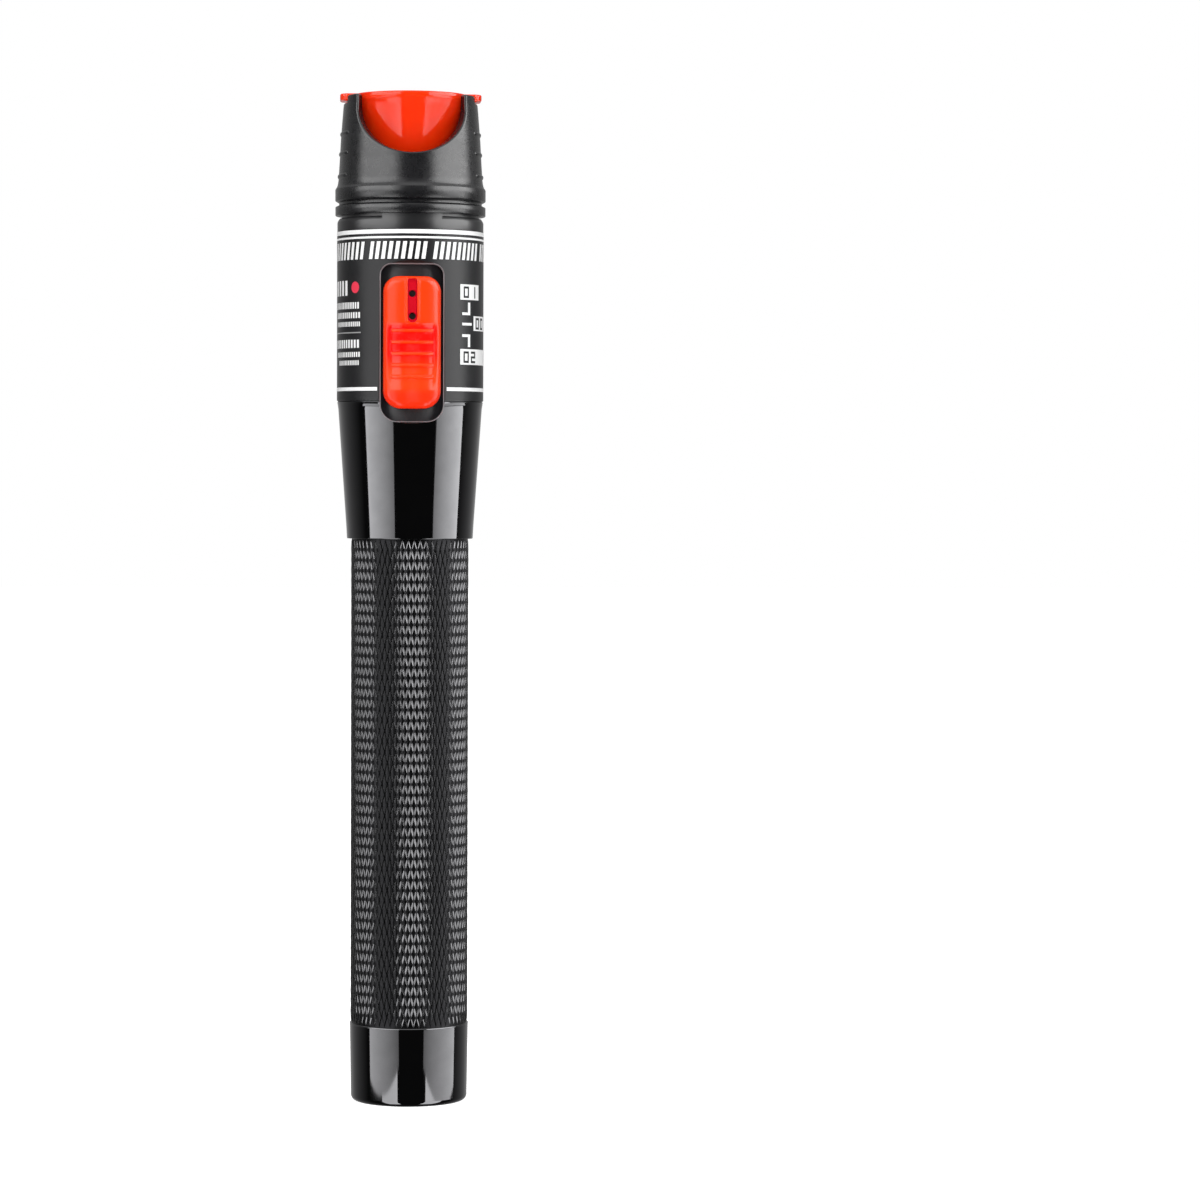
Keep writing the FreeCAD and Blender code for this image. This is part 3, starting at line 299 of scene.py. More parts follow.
def tail_outline():
    spigot_top = head("tail_cap")
    root = SPIGOT_RADIUS - THREAD_DEPTH
    outline = [(0.0, 0.0)]
    outline += rounded(TAIL_FOOT_RADIUS - TAIL_ROLL, TAIL_ROLL, TAIL_ROLL, -90, 0, 8)
    outline += [(TAIL_RIM_RADIUS - 0.03, tail_top - 0.26)]
    outline += rounded(TAIL_RIM_RADIUS - TAIL_BEVEL, tail_top - TAIL_BEVEL, TAIL_BEVEL, 0, 90, 3)
    outline += [
        (SPIGOT_RADIUS, tail_top), (SPIGOT_RADIUS, SEAL_FOOT), (SEAL_RADIUS, SEAL_FOOT),
        (SEAL_RADIUS, SEAL_HEAD), (SPIGOT_RADIUS, SEAL_HEAD),
    ]
    level = THREAD_FOOT
    while level < spigot_top - 1.0:
        outline += [(SPIGOT_RADIUS, level), (root, level + 0.4), (root, level + 0.5)]
        level += THREAD_PITCH
    outline += [
        (SPIGOT_RADIUS, spigot_top - 0.3), (SPIGOT_RADIUS - 0.25, spigot_top),
        (SPIGOT_BORE, spigot_top), (SPIGOT_BORE, TAIL_FLOOR), (0.0, TAIL_FLOOR),
    ]
    return outline


tail_skin = turned("tail_cap_skin", tail_outline(), gloss_black)
dress(tail_skin, "tail", "tail_cap", slot="gloss_black")

# %% [markdown]
# ## Knurled grip
# A diamond knurl is two sets of spiral cuts that cross.  What is left between them is a
# lattice of four-sided studs, each as wide as one cut pitch and two rows tall, with a low
# tip.  The tool left its sides bright, and the anodised tips are dark.  Modelling each cut
# would be slow, so Geometry Nodes set one small stud on every crossing: the tree numbers
# its points, turns the number into a place round the tube, and sets a stud on each.

# %% A helper for node trees


class Tree:
    """A small hand for wiring a geometry node tree."""

    def __init__(self, name):
        self.tree = bpy.data.node_groups.new(name, "GeometryNodeTree")
        for way in ("INPUT", "OUTPUT"):
            self.tree.interface.new_socket(
                "Geometry", in_out=way, socket_type="NodeSocketGeometry")
        self.numbers = {}

    def number(self, name, kind="Float"):
        socket = self.tree.interface.new_socket(
            name, in_out="INPUT", socket_type="NodeSocket" + kind)
        self.numbers[name] = socket.identifier

    def start(self):
        self.entry = self.tree.nodes.new("NodeGroupInput")
        self.exit = self.tree.nodes.new("NodeGroupOutput")

    def node(self, kind, settings=(), **inputs):
        made = self.tree.nodes.new(kind)
        for key, value in dict(settings).items():
            setattr(made, key, value)
        for key, value in inputs.items():
            self.feed(made.inputs[key.replace("_", " ")], value)
        return made

    def feed(self, socket, value):
        if isinstance(value, str):
            self.tree.links.new(self.entry.outputs[value], socket)
        elif isinstance(value, bpy.types.NodeSocket):
            self.tree.links.new(value, socket)
        else:
            socket.default_value = value

    def math(self, operation, *values):
        made = self.tree.nodes.new("ShaderNodeMath")
        made.operation = operation
        for n, value in enumerate(values):
            self.feed(made.inputs[n], value)
        return made.outputs[0]

    def vector(self, x, y, z):
        made = self.tree.nodes.new("ShaderNodeCombineXYZ")
        for n, value in enumerate((x, y, z)):
            self.feed(made.inputs[n], value)
        return made.outputs[0]

    def result(self, geometry):
        self.tree.links.new(geometry, self.exit.inputs[0])


# %% Cut one stud


def knurl_stud(shoulder=0.7, wall=0.62, corner=0.17):
    """A stud in unit lengths: a diamond foot, four sides cut between their ends, a low tip."""
    tips = [(1, 0), (0, 1), (-1, 0), (0, -1)]
    points, faces = [], []
    for scale, level in ((1.0, 0.0), (shoulder, wall)):
        for (ax, ay), (bx, by) in zip(tips, tips[1:] + tips[:1]):
            for share in (0.0, corner, 1.0 - corner):
                across, along = ax + (bx - ax) * share, ay + (by - ay) * share
                points.append((scale * across, scale * along, level))
    points.append((0.0, 0.0, 1.0))
    ring = 3 * len(tips)
    for n in range(ring):
        after = (n + 1) % ring
        faces.append((n, after, ring + after, ring + n))
        faces.append((ring + n, ring + after, 2 * ring))
    points = [tuple(c / MM for c in point) for point in points]
    stud = make_piece("knurl_stud", points, faces, knurl_black, sharp=5.0)
    cut_side = stud.data.attributes.new("cut_side", "BOOLEAN", "FACE")
    for n in range(1, ring, 3):
        cut_side.data[2 * n].value = True
    return stud


# %% Build the knurl's node tree


def knurl_tree(stud):
    t = Tree("knurl")
    for name, kind in (("Around", "Int"), ("Rows", "Int"), ("Row Pitch", "Float"),
                       ("Foot", "Float"), ("Radius", "Float"), ("Depth", "Float")):
        t.number(name, kind)
    t.start()
    spots = t.node("GeometryNodePoints", Count=t.math("MULTIPLY", "Around", "Rows"))
    index = t.node("GeometryNodeInputIndex").outputs[0]
    row = t.math("ADD", t.math("FLOOR", t.math("DIVIDE", index, "Around")), 1.0)
    shift = t.math("MULTIPLY", t.math("MODULO", row, 2.0), 0.5)
    turn = t.math("DIVIDE", t.math("ADD", t.math("MODULO", index, "Around"), shift), "Around")
    swing = t.math("MULTIPLY", t.math("SUBTRACT", turn, 0.25), 2 * math.pi)
    valley = t.math("SUBTRACT", "Radius", "Depth")
    place = t.vector(
        t.math("MULTIPLY", valley, t.math("COSINE", swing)),
        t.math("MULTIPLY", valley, t.math("SINE", swing)),
        t.math("ADD", "Foot", t.math("MULTIPLY", row, "Row Pitch")))
    lattice = t.node("GeometryNodeSetPosition", Geometry=spots.outputs[0], Position=place)
    unit = t.node("GeometryNodeObjectInfo", Object=stud)
    half_width = t.math("DIVIDE", t.math("MULTIPLY", valley, math.pi), "Around")
    shaped = t.node(
        "GeometryNodeTransform", Geometry=unit.outputs["Geometry"],
        Rotation=(math.pi / 2, 0.0, math.pi / 2),
        Scale=t.vector(half_width, "Row Pitch", "Depth"))
    set_on = t.node(
        "GeometryNodeInstanceOnPoints", Points=lattice.outputs[0], Instance=shaped.outputs[0],
        Rotation=t.vector(0.0, 0.0, swing))
    both = t.node("GeometryNodeJoinGeometry")
    t.feed(both.inputs[0], set_on.outputs[0])
    t.feed(both.inputs[0], t.entry.outputs["Geometry"])
    real = t.node("GeometryNodeRealizeInstances", Geometry=both.outputs[0])
    dark = t.node("GeometryNodeSetMaterial", Geometry=real.outputs[0], Material=knurl_black)
    sides = t.node("GeometryNodeInputNamedAttribute", {"data_type": "BOOLEAN"})
    sides.inputs["Name"].default_value = "cut_side"
    bright = t.node(
        "GeometryNodeSetMaterial", Geometry=dark.outputs[0],
        Selection=sides.outputs["Attribute"], Material=knurl_bright)
    t.result(bright.outputs[0])
    return t


def drop(*pieces):
    for piece in pieces:
        bpy.data.objects.remove(piece, do_unlink=True)


def grown(piece, tree, **values):
    """Runs a node tree on a piece and keeps only the plain mesh that it makes."""
    modifier = piece.modifiers.new("nodes", "NODES")
    modifier.node_group = tree.tree
    for name, value in values.items():
        modifier[tree.numbers[name.replace("_", " ")]] = value
    ready = piece.evaluated_get(bpy.context.evaluated_depsgraph_get())
    mesh = bpy.data.meshes.new_from_object(ready)
    piece.modifiers.clear()
    piece.data = mesh
    return piece


# %% Knurl the barrel
KNURL_AROUND, KNURL_ROWS, KNURL_DEPTH = 62, 45, 0.13
BARREL_RADIUS, BARREL_BORE, JOINT_RADIUS = 10.08, 7.5, 9.0
SOCKET_RADIUS, SOCKET_TOP = 8.7, 21.4
barrel_foot, joint_top = tail_top, head("barrel_tube")
core_radius = BARREL_RADIUS - KNURL_DEPTH - 0.02
barrel_outline = [
    (SOCKET_RADIUS, barrel_foot), (core_radius, barrel_foot), (core_radius, collar_foot),
    (JOINT_RADIUS, collar_foot), (JOINT_RADIUS, joint_top), (BARREL_BORE, joint_top),
    (BARREL_BORE, SOCKET_TOP), (SOCKET_RADIUS, SOCKET_TOP),
]
grip = turned("knurled_grip", barrel_outline, knurl_black, steps=2 * KNURL_AROUND)
row_pitch = (collar_foot - barrel_foot) / (KNURL_ROWS + 1)
stud = knurl_stud()
grown(grip, knurl_tree(stud), Around=KNURL_AROUND, Rows=KNURL_ROWS, Row_Pitch=row_pitch * MM,
      Foot=barrel_foot * MM, Radius=BARREL_RADIUS * MM, Depth=KNURL_DEPTH * MM)
grip.data.attributes.remove(grip.data.attributes["cut_side"])
drop(stud)
dress(grip, "handle", "barrel_tube", slot="knurled_grip")

# %% [markdown]
# ## The slot
# The button slides in a slot that was milled through collar, housing and label at once and
# then given a small bevel.  So one cutter is made here and taken from all three pieces.  It
# is a closed tube: straight inside, then opening at 45 degrees from just under the skin.
# It follows the skin's own radius, so that the bevel is as wide on the cone as on the tube.

# %% The slot's outline
SLOT_HALF, SLOT_FOOT, SLOT_HEAD = 5.28, 116.75, 143.2
SLOT_FOOT_ROUND, SLOT_HEAD_ROUND, SLOT_BEVEL, SLOT_FLARE = 2.8, 1.8, 0.19, 0.6
COLLAR_CURVE = [
    (collar_foot, 10.79), (collar_foot + 2, 10.89), (collar_top - 1.2, 12.3), (collar_top, 12.49)]


def skin_radius(height):
    """The outer radius of collar or label at a height."""
    if height > collar_top:
        return label_radius
    return float(np.interp(height, [z for z, _ in COLLAR_CURVE], [r for _, r in COLLAR_CURVE]))


def round_outline(half, low, high, bend_low, bend_high, steps=10):
    """(x, z) points with their outward directions, round a four-cornered outline."""
    corners = [
        (half - bend_low, low + bend_low, bend_low, -90),
        (half - bend_high, high - bend_high, bend_high, 0),
        (bend_high - half, high - bend_high, bend_high, 90),
        (bend_low - half, low + bend_low, bend_low, 180),
    ]
    spots = []
    for x, z, bend, start in corners:
        for n in range(steps + 1):
            swing = math.radians(start + 90 * n / steps)
            out = (math.cos(swing), math.sin(swing))
            spots.append((x + bend * out[0], z + bend * out[1], out[0], out[1]))
    return spots


# %% Make the slot's cutter
CUTTER_BACK, CUTTER_FRONT = -5.0, -20.0


def heal(mesh, merge=0.0, outwards=True):
    """Merges doubled points and turns every face outwards, each only where asked."""
    shape = bmesh.new()
    shape.from_mesh(mesh)
    if merge:
        bmesh.ops.remove_doubles(shape, verts=shape.verts, dist=merge)
    if outwards:
        bmesh.ops.recalc_face_normals(shape, faces=shape.faces)
    shape.to_mesh(mesh)
    shape.free()


def slot_cutter(bevel):
    rim = round_outline(SLOT_HALF, SLOT_FOOT, SLOT_HEAD, SLOT_FOOT_ROUND, SLOT_HEAD_ROUND)
    points = [(x, CUTTER_BACK, z) for x, z, _, _ in rim]
    for grow, sink in ((0.0, bevel), (bevel, 0.0), (bevel + SLOT_FLARE, -SLOT_FLARE)):
        for x, z, out_x, out_z in rim:
            wide, tall = x + out_x * grow, z + out_z * grow
            radius = skin_radius(z) - sink
            points.append((wide, -math.sqrt(radius ** 2 - wide ** 2), tall))
    points += [(x, CUTTER_FRONT, z) for x, _, z in points[-len(rim):]]
    count = len(rim)
    faces = []
    for ring in range(4):
        for n in range(count):
            after = (n + 1) % count
            here, there = ring * count, (ring + 1) * count
            faces.append((here + n, here + after, there + after, there + n))
    faces.append(tuple(reversed(range(count))))
    faces.append(tuple(range(4 * count, 5 * count)))
    cutter = make_piece("slot_cutter", points, faces, slot_wall)
    # The bevel's ring of faces takes the painted highlight.
    cutter.data.materials.append(painted_bevel_highlight)
    for face in cutter.data.polygons[count:2 * count]:
        face.material_index = 1
    heal(cutter.data)
    return cutter


def cut(piece, cutter, operation="DIFFERENCE", sharp=35.0):
    """Applies a boolean and keeps the result as the piece's own mesh."""
    modifier = piece.modifiers.new("cut", "BOOLEAN")
    modifier.operation = operation
    modifier.solver = "EXACT"
    modifier.material_mode = "TRANSFER"
    modifier.object = cutter
    ready = piece.evaluated_get(bpy.context.evaluated_depsgraph_get())
    mesh = bpy.data.meshes.new_from_object(ready)
    piece.modifiers.clear()
    piece.data = mesh
    smooth_between_edges(mesh, sharp)
    return piece


milling = slot_cutter(SLOT_BEVEL)
print("slot %.2f to %.2f, %.2f wide" % (SLOT_FOOT, SLOT_HEAD, 2 * SLOT_HALF))

# %% [markdown]
# ## Taper collar
# A polished cone that widens from the grip to the housing, with a small rolled lip at its
# foot and its top.  It was turned in one go and then milled, and so is this skin: the lathe
# gives the cone, and the slot's cutter is taken from it.

# %% Turn and mill the collar
COLLAR_SEAT, COLLAR_BORE, COLLAR_STEP = 9.05, 10.2, 109.2
collar_outline = [(COLLAR_SEAT, collar_foot), (10.67, collar_foot)]
collar_outline += rounded(10.68, collar_foot + 0.12, 0.12, -80, 0, 3)
collar_outline += [(10.81, collar_foot + 0.3), (10.9, collar_foot + 2), (12.3, collar_top - 1.2)]
collar_outline += [(12.45, collar_top - 0.2)]
collar_outline += rounded(12.39, collar_top - 0.1, 0.1, 0, 90, 3)
collar_outline += [
    (COLLAR_BORE, collar_top), (COLLAR_BORE, COLLAR_STEP), (COLLAR_SEAT, COLLAR_STEP)]
collar = cut(turned("collar_skin", collar_outline, gloss_black, steps=300), milling)
dress(collar, "handle", "taper_collar", slot="gloss_black")

# %% [markdown]
# ## Housing and label film
# The housing is a plain tube under a matt printed film.  Only its bare rim shows, above the
# film, with the key lug that stops the shroud from turning.  Its outline runs up the
# outside, over the nose that holds the port, and down the bore.  A window in the spigot and
# the lug need blocks bent round the axis, so a helper makes those.

# %% Turn and mill the housing
HOUSING_RADIUS, SLEEVE_SEAT, NECK_RADIUS, HOUSING_FOOT = 12.5, 12.45, 11.7, 110.0
JOINT_SLEEVE, HOUSING_BORE, LEDGE_BORE, LEDGE_FOOT = 10.15, 10.25, 8.6, 112.4
NOSE_RADIUS, NOSE_GROOVE, NOSE_BORE, NOSE_TOP = 10.65, 10.35, 9.0, 158.5
WEB_FOOT, WEB_TOP, WEB_BORE = 148.5, 151.05, 5.05
housing_top, ledge_top = shroud_foot - 0.5, collar_top + 1.2
housing_outline = [
    # the joint's sleeve, the seat under the film and the bare rim
    (JOINT_RADIUS, HOUSING_FOOT), (JOINT_SLEEVE, HOUSING_FOOT), (JOINT_SLEEVE, collar_top),
    (12.3, collar_top), (SLEEVE_SEAT, collar_top + 0.15), (SLEEVE_SEAT, label_top + 0.02),
    (HOUSING_RADIUS, label_top + 0.06), (HOUSING_RADIUS, housing_top - 0.7),
    (HOUSING_RADIUS - 0.08, housing_top - 0.45), (HOUSING_RADIUS - 0.37, housing_top),
    # the neck, and the nose with the groove that holds the shroud
    (NECK_RADIUS, housing_top), (NECK_RADIUS, shroud_foot), (NOSE_RADIUS, shroud_foot),
    (NOSE_RADIUS, shroud_foot + 2.9), (NOSE_GROOVE, shroud_foot + 3.2),
    (NOSE_GROOVE, shroud_foot + 3.8), (NOSE_RADIUS, shroud_foot + 4.1),
    (NOSE_RADIUS, NOSE_TOP - 0.2), (NOSE_RADIUS - 0.2, NOSE_TOP), (NOSE_BORE, NOSE_TOP),
    # the bore, with the web that carries the light source and the ledge for the board
    (NOSE_BORE, WEB_TOP), (WEB_BORE, WEB_TOP), (WEB_BORE, WEB_FOOT), (HOUSING_BORE, WEB_FOOT),
    (HOUSING_BORE, ledge_top), (LEDGE_BORE, ledge_top), (LEDGE_BORE, LEDGE_FOOT),
    (JOINT_RADIUS, LEDGE_FOOT),
]
housing = cut(turned("housing_shell", housing_outline, housing_black, steps=300), milling)

# %% Cut its window and add the key lug
WINDOW_HALF_ANGLE, LUG_HALF_ANGLE = 49.0, 24.0


def sector(name, inner, outer, low, high, half_angle, material, steps=24):
    """A block at the front, bent round the axis, between two radii and two heights."""
    points = []
    for n in range(steps + 1):
        swing = math.radians(2 * half_angle * n / steps - half_angle)
        for radius, height in ((inner, low), (outer, low), (outer, high), (inner, high)):
            points.append((radius * math.sin(swing), -radius * math.cos(swing), height))
    faces = [(0, 1, 2, 3), tuple(4 * steps + k for k in (3, 2, 1, 0))]
    for n in range(steps):
        for k in range(4):
            after = (k + 1) % 4
            faces.append((4 * n + k, 4 * n + 4 + k, 4 * n + 4 + after, 4 * n + after))
    piece = make_piece(name, points, faces, material)
    heal(piece.data)
    smooth_between_edges(piece.data, 35.0)
    return piece


spigot_window = sector(
    "spigot_window", 7.6, HOUSING_BORE, 109.0, ledge_top, WINDOW_HALF_ANGLE, housing_black)
lug = sector(
    "key_lug", 11.3, HOUSING_RADIUS - 0.06, housing_top - 1.4, shroud_foot - 0.03,
    LUG_HALF_ANGLE, housing_black)
cut(housing, spigot_window)
cut(housing, lug, "UNION")
drop(spigot_window, lug)
dress(housing, "handle", "upper_housing", slot="housing_black")

# %% Wrap the label film
film_foot, film_back = collar_top + 0.25, SLEEVE_SEAT + 0.012
film_outline = [
    (film_back, film_foot), (label_radius - 0.02, film_foot), (label_radius, collar_top + 0.27),
    (label_radius, label_top - 0.02), (label_radius - 0.02, label_top), (film_back, label_top),
]
film = cut(turned("label_film", film_outline, label_black, steps=300), milling)
dress(film, "handle", "label_sleeve", slot="label_film")
drop(milling)

# %% [markdown]
# ## Print
# The film carries plain marks only: rules round the tube, a band of slanted ticks, a few
# short bars, a red dot, and the three switch positions as plain numbers in white boxes.
# Ink has next to no thickness, and an image would blur when seen close, so each mark is a
# thin patch bent round the film, a hundredth of a millimetre proud.

# %% Helpers for printed marks
PRINT_RADIUS = label_radius + 0.012


def on_film(across, height):
    """A point on the film, given its distance round the tube from the front."""
    swing = across / label_radius
    return (PRINT_RADIUS * math.sin(swing), -PRINT_RADIUS * math.cos(swing), height)


def patch(store, left, right, low, high, lean=0.0, step=0.35):
    """Adds a four-sided mark, with its head moved sideways by lean."""
    count = max(1, int(math.ceil((right - left) / step)))
    for n in range(count):
        a = left + (right - left) * n / count
        b = left + (right - left) * (n + 1) / count
        start = len(store["points"])
        store["points"] += [
            on_film(a, low), on_film(b, low), on_film(b + lean, high), on_film(a + lean, high)]
        store["faces"].append((start, start + 1, start + 2, start + 3))


def new_store():
    return {"points": [], "faces": []}


def printed(name, store, material):
    piece = make_piece(name, store["points"], store["faces"], material)
    heal(piece.data, merge=2e-6, outwards=False)
    dress(piece, "handle", slot="label_film")


def ticks(store, left, right, low, high, pitch, width, lean=0.0):
    """A row of upright marks between two places round the film."""
    for n in range(int((right - left - width) / pitch) + 1):
        mark = left + n * pitch
        patch(store, mark, mark + width, low, high, lean, step=0.5)


# %% Print the rules and the band of ticks
HEAD_RULES, FOOT_RULE = ((148.38, 149.08), (147.58, 147.92)), (121.9, 122.5)
BAND_GROUPS, BAND_FOOT, BAND_HEAD, BAND_LEAN = 7, 144.1, 147.05, 0.42
white = new_store()
round_half = math.pi * label_radius
slot_edge = SLOT_HALF + 0.85
for low, high in HEAD_RULES:
    patch(white, -round_half, round_half, low, high)
patch(white, -round_half, -slot_edge, *FOOT_RULE)
patch(white, slot_edge, round_half, *FOOT_RULE)
group_pitch = 2 * round_half / BAND_GROUPS
for n in range(BAND_GROUPS):
    left, right = n * group_pitch - 7.75, (n + 1) * group_pitch - 8.9
    ticks(white, left, right, BAND_FOOT, BAND_HEAD, 1.16, 0.66, BAND_LEAN)

# %% [markdown]
# On the other side of the slot stands a short list of plain ticks, one row under another,
# under a dot and a row of taller ticks.

# %% Print the list beside the slot
LIST_EDGE = -9.5
LIST_ROWS = (
    # middle, left edge, height, pitch
    (136.35, -19.0, 1.1, 0.62), (134.7, -18.0, 1.0, 0.66), (133.2, -17.5, 0.8, 0.5),
    (129.85, -18.4, 1.4, 0.8), (128.05, -17.6, 0.85, 0.58), (126.65, -16.5, 0.8, 0.52),
)
for middle, left, tall, pitch in LIST_ROWS:
    ticks(white, left, LIST_EDGE, middle - tall / 2, middle + tall / 2, pitch, pitch * 0.62)
ticks(white, -18.8, -12.6, 138.05, 140.6, 1.25, 0.72)
print("marks so far:", len(white["faces"]))

# %% [markdown]
# The switch positions stand beside the slot: three boxes with a stepped line between them.

# %% Print the boxes and their lines
LEGEND_EDGE = 8.97
BOXES = ((0.0, 5.5, 137.4, 140.0), (3.58, 9.0, 132.2, 134.7), (0.0, 9.0, 126.4, 129.05))
STEPPED_LINE = (
    (1.9, 2.55, 135.25, 136.95), (0.45, 2.55, 134.8, 135.25), (0.45, 3.0, 133.05, 133.5),
    (0.45, 2.55, 131.1, 131.55), (1.9, 2.55, 129.4, 131.1),
)
for left, right, low, high in BOXES + STEPPED_LINE:
    patch(white, LEGEND_EDGE + left, LEGEND_EDGE + right, low, high)
printed("label_print_white", white, print_white)
grey = new_store()
patch(grey, -18.6, LIST_EDGE, 131.65, 131.85)
printed("label_print_grey", grey, print_grey)

# %% Print the red dot
DOT_ACROSS, DOT_HEIGHT, DOT_RADIUS, DOT_STEPS = -10.87, 139.4, 0.98, 24
red = new_store()
for n in range(DOT_STEPS):
    start = len(red["points"])
    red["points"].append(on_film(DOT_ACROSS, DOT_HEIGHT))
    for k in (n, n + 1):
        turn = 2 * math.pi * k / DOT_STEPS
        red["points"].append(on_film(
            DOT_ACROSS + DOT_RADIUS * math.cos(turn), DOT_HEIGHT + DOT_RADIUS * math.sin(turn)))
    red["faces"].append((start, start + 1, start + 2))
printed("label_print_red", red, print_red)

# %% [markdown]
# The numbers in the boxes are plain block figures.  Each is set from the seven bars of a
# counter: top, the two upper sides, middle, the two lower sides and bottom.

# %% Print the numbers
BARS = {
    "top": (0, 1, 1, 1), "upper_left": (0, 0.5, 0, 1), "upper_right": (1, 0.5, 1, 1),
    "middle": (0, 0.5, 1, 0.5), "lower_left": (0, 0, 0, 0.5), "lower_right": (1, 0, 1, 0.5),
    "bottom": (0, 0, 1, 0),
}
FIGURES = {
    "0": ("top", "upper_left", "upper_right", "lower_left", "lower_right", "bottom"),
    "1": ("upper_right", "lower_right"),
    "2": ("top", "upper_right", "middle", "lower_left", "bottom"),
}


def figure(store, digit, left, low, wide=1.05, tall=1.6, thick=0.36):
    for bar in FIGURES[digit]:
        x0, z0, x1, z1 = BARS[bar]
        patch(store, left + wide * x0, left + wide * x1 + thick,
              low + tall * z0, low + tall * z1 + thick)


DIGIT_PITCH, DIGIT_LIFT = 2.0, 1.001
digits = new_store()
for number, across, low in (("01", 0.75, 137.7), ("00", 4.3, 132.45), ("02", 0.75, 126.7)):
    for place, digit in enumerate(number):
        figure(digits, digit, LEGEND_EDGE + across + DIGIT_PITCH * place, low)
digits["points"] = [(x * DIGIT_LIFT, y * DIGIT_LIFT, z) for x, y, z in digits["points"]]
printed("label_numbers", digits, label_black)

# %% [markdown]
# ## Slide button
# The real button is a moulded red cap on a stem: crowned, rolled at its edge, with a dished
# thumb rest, five ribs, and a sunk mark with a raised lip and two small holes.  Sculpting
# this would not be repeatable, so its face is a dense sheet laid over the outline.  Rings
# follow the rounded edge, and behind them the sheet closes in on the middle line, so its
# rows stay level.  One function gives the depth of the face at each place.

# %% The sizes of the button
BUTTON_HALF = 4.88
BUTTON_FOOT, BUTTON_HEAD = foot("switch_button") + 0.35, head("switch_button") - 0.05
BUTTON_FOOT_ROUND, BUTTON_HEAD_ROUND = 3.0, 2.6
BUTTON_FACE, BUTTON_CROWN, BUTTON_ROLL = 13.95, 10.0, 1.1
SCOOP_FOOT, SCOOP_HEAD, SCOOP_DEPTH, SCOOP_SIDE = 122.0, 133.2, 0.7, 3.8
RIBS, RIB_MIDDLE, RIB_PITCH, RIB_BEND = 5, 128.1, 1.94, 0.32
MARK_HALF, MARK_FOOT, MARK_HEAD, MARK_DEPTH = 0.84, 133.3, 140.7, 0.45
LIP_WIDTH, LIP_HEIGHT = 0.45, 0.12
HOLE_LEVELS, HOLE_DEPTH = (MARK_HEAD - 2.5, MARK_FOOT + 1.1), 0.6
PLATE_RADIUS = 10.0
print("button %.2f to %.2f, %.2f wide" % (BUTTON_FOOT, BUTTON_HEAD, 2 * BUTTON_HALF))

# %% The depth of its face


def ease(value, start, end):
    """Runs smoothly from 0 at start to 1 at end."""
    part = min(max((value - start) / (end - start), 0.0), 1.0)
    return part * part * (3 - 2 * part)


def outline_gap(x, z, half, low, high, bend_low, bend_high):
    """How far outside a round-cornered outline a place is; negative inside."""
    bend = bend_low if z < (low + high) / 2 else bend_high
    side = abs(x) - (half - bend)
    end = max(low + bend - z, z - (high - bend))
    return math.hypot(max(side, 0.0), max(end, 0.0)) + min(max(side, end), 0.0) - bend


def mark_gap(x, z):
    """How far outside the sunk mark a place is; negative inside."""
    return outline_gap(x, z, MARK_HALF, MARK_FOOT, MARK_HEAD, 0.8, 0.3)


def hole_gap(x, z):
    """How far a place is from the middle of the nearer hole."""
    return min(math.hypot(x, z - level) for level in HOLE_LEVELS)


def rib_gap(z):
    """How far a height is from the middle of the nearest rib."""
    return min(abs(z - RIB_MIDDLE - RIB_PITCH * (n - RIBS // 2)) for n in range(RIBS))


def button_depth(x, z):
    """How deep the face lies under its highest line."""
    depth = BUTTON_CROWN - math.sqrt(BUTTON_CROWN ** 2 - x ** 2)
    if SCOOP_FOOT < z < SCOOP_HEAD:
        down = (SCOOP_HEAD - z) / (SCOOP_HEAD - SCOOP_FOOT)
        dish = SCOOP_DEPTH * math.sin(math.pi * down ** 0.65)
        depth += dish * (1 - ease(abs(x), SCOOP_SIDE - 0.5, SCOOP_SIDE + 0.7))
    step = rib_gap(z)
    if step < RIB_BEND:
        rib = math.sqrt(RIB_BEND ** 2 - step ** 2)
        depth -= rib * (1 - ease(abs(x), SCOOP_SIDE - 0.4, SCOOP_SIDE - 0.1))
    gap = mark_gap(x, z)
    depth += MARK_DEPTH * (1 - ease(gap, -0.16, 0.0))
    if 0.0 < gap < LIP_WIDTH:
        depth -= LIP_HEIGHT * math.sin(math.pi * gap / LIP_WIDTH)
    depth += HOLE_DEPTH * (1 - ease(hole_gap(x, z), 0.5, 0.64))
    return max(depth, 0.0)


# %% Lay the sheet over its outline


def button_rim(inset, steps):
    """Evenly stepped places round the button's outline, moved in by inset."""
    dense = round_outline(
        BUTTON_HALF - inset, BUTTON_FOOT + inset, BUTTON_HEAD - inset,
        BUTTON_FOOT_ROUND - inset, BUTTON_HEAD_ROUND - inset, 24)
    xs, zs = [x for x, _, _, _ in dense], [z for _, z, _, _ in dense]
    xs.append(xs[0])
    zs.append(zs[0])
    run = [0.0]
    for n in range(len(dense)):
        run.append(run[-1] + math.hypot(xs[n + 1] - xs[n], zs[n + 1] - zs[n]))
    wanted = np.linspace(0, run[-1], steps, endpoint=False)
    return np.interp(wanted, run, xs), np.interp(wanted, run, zs)


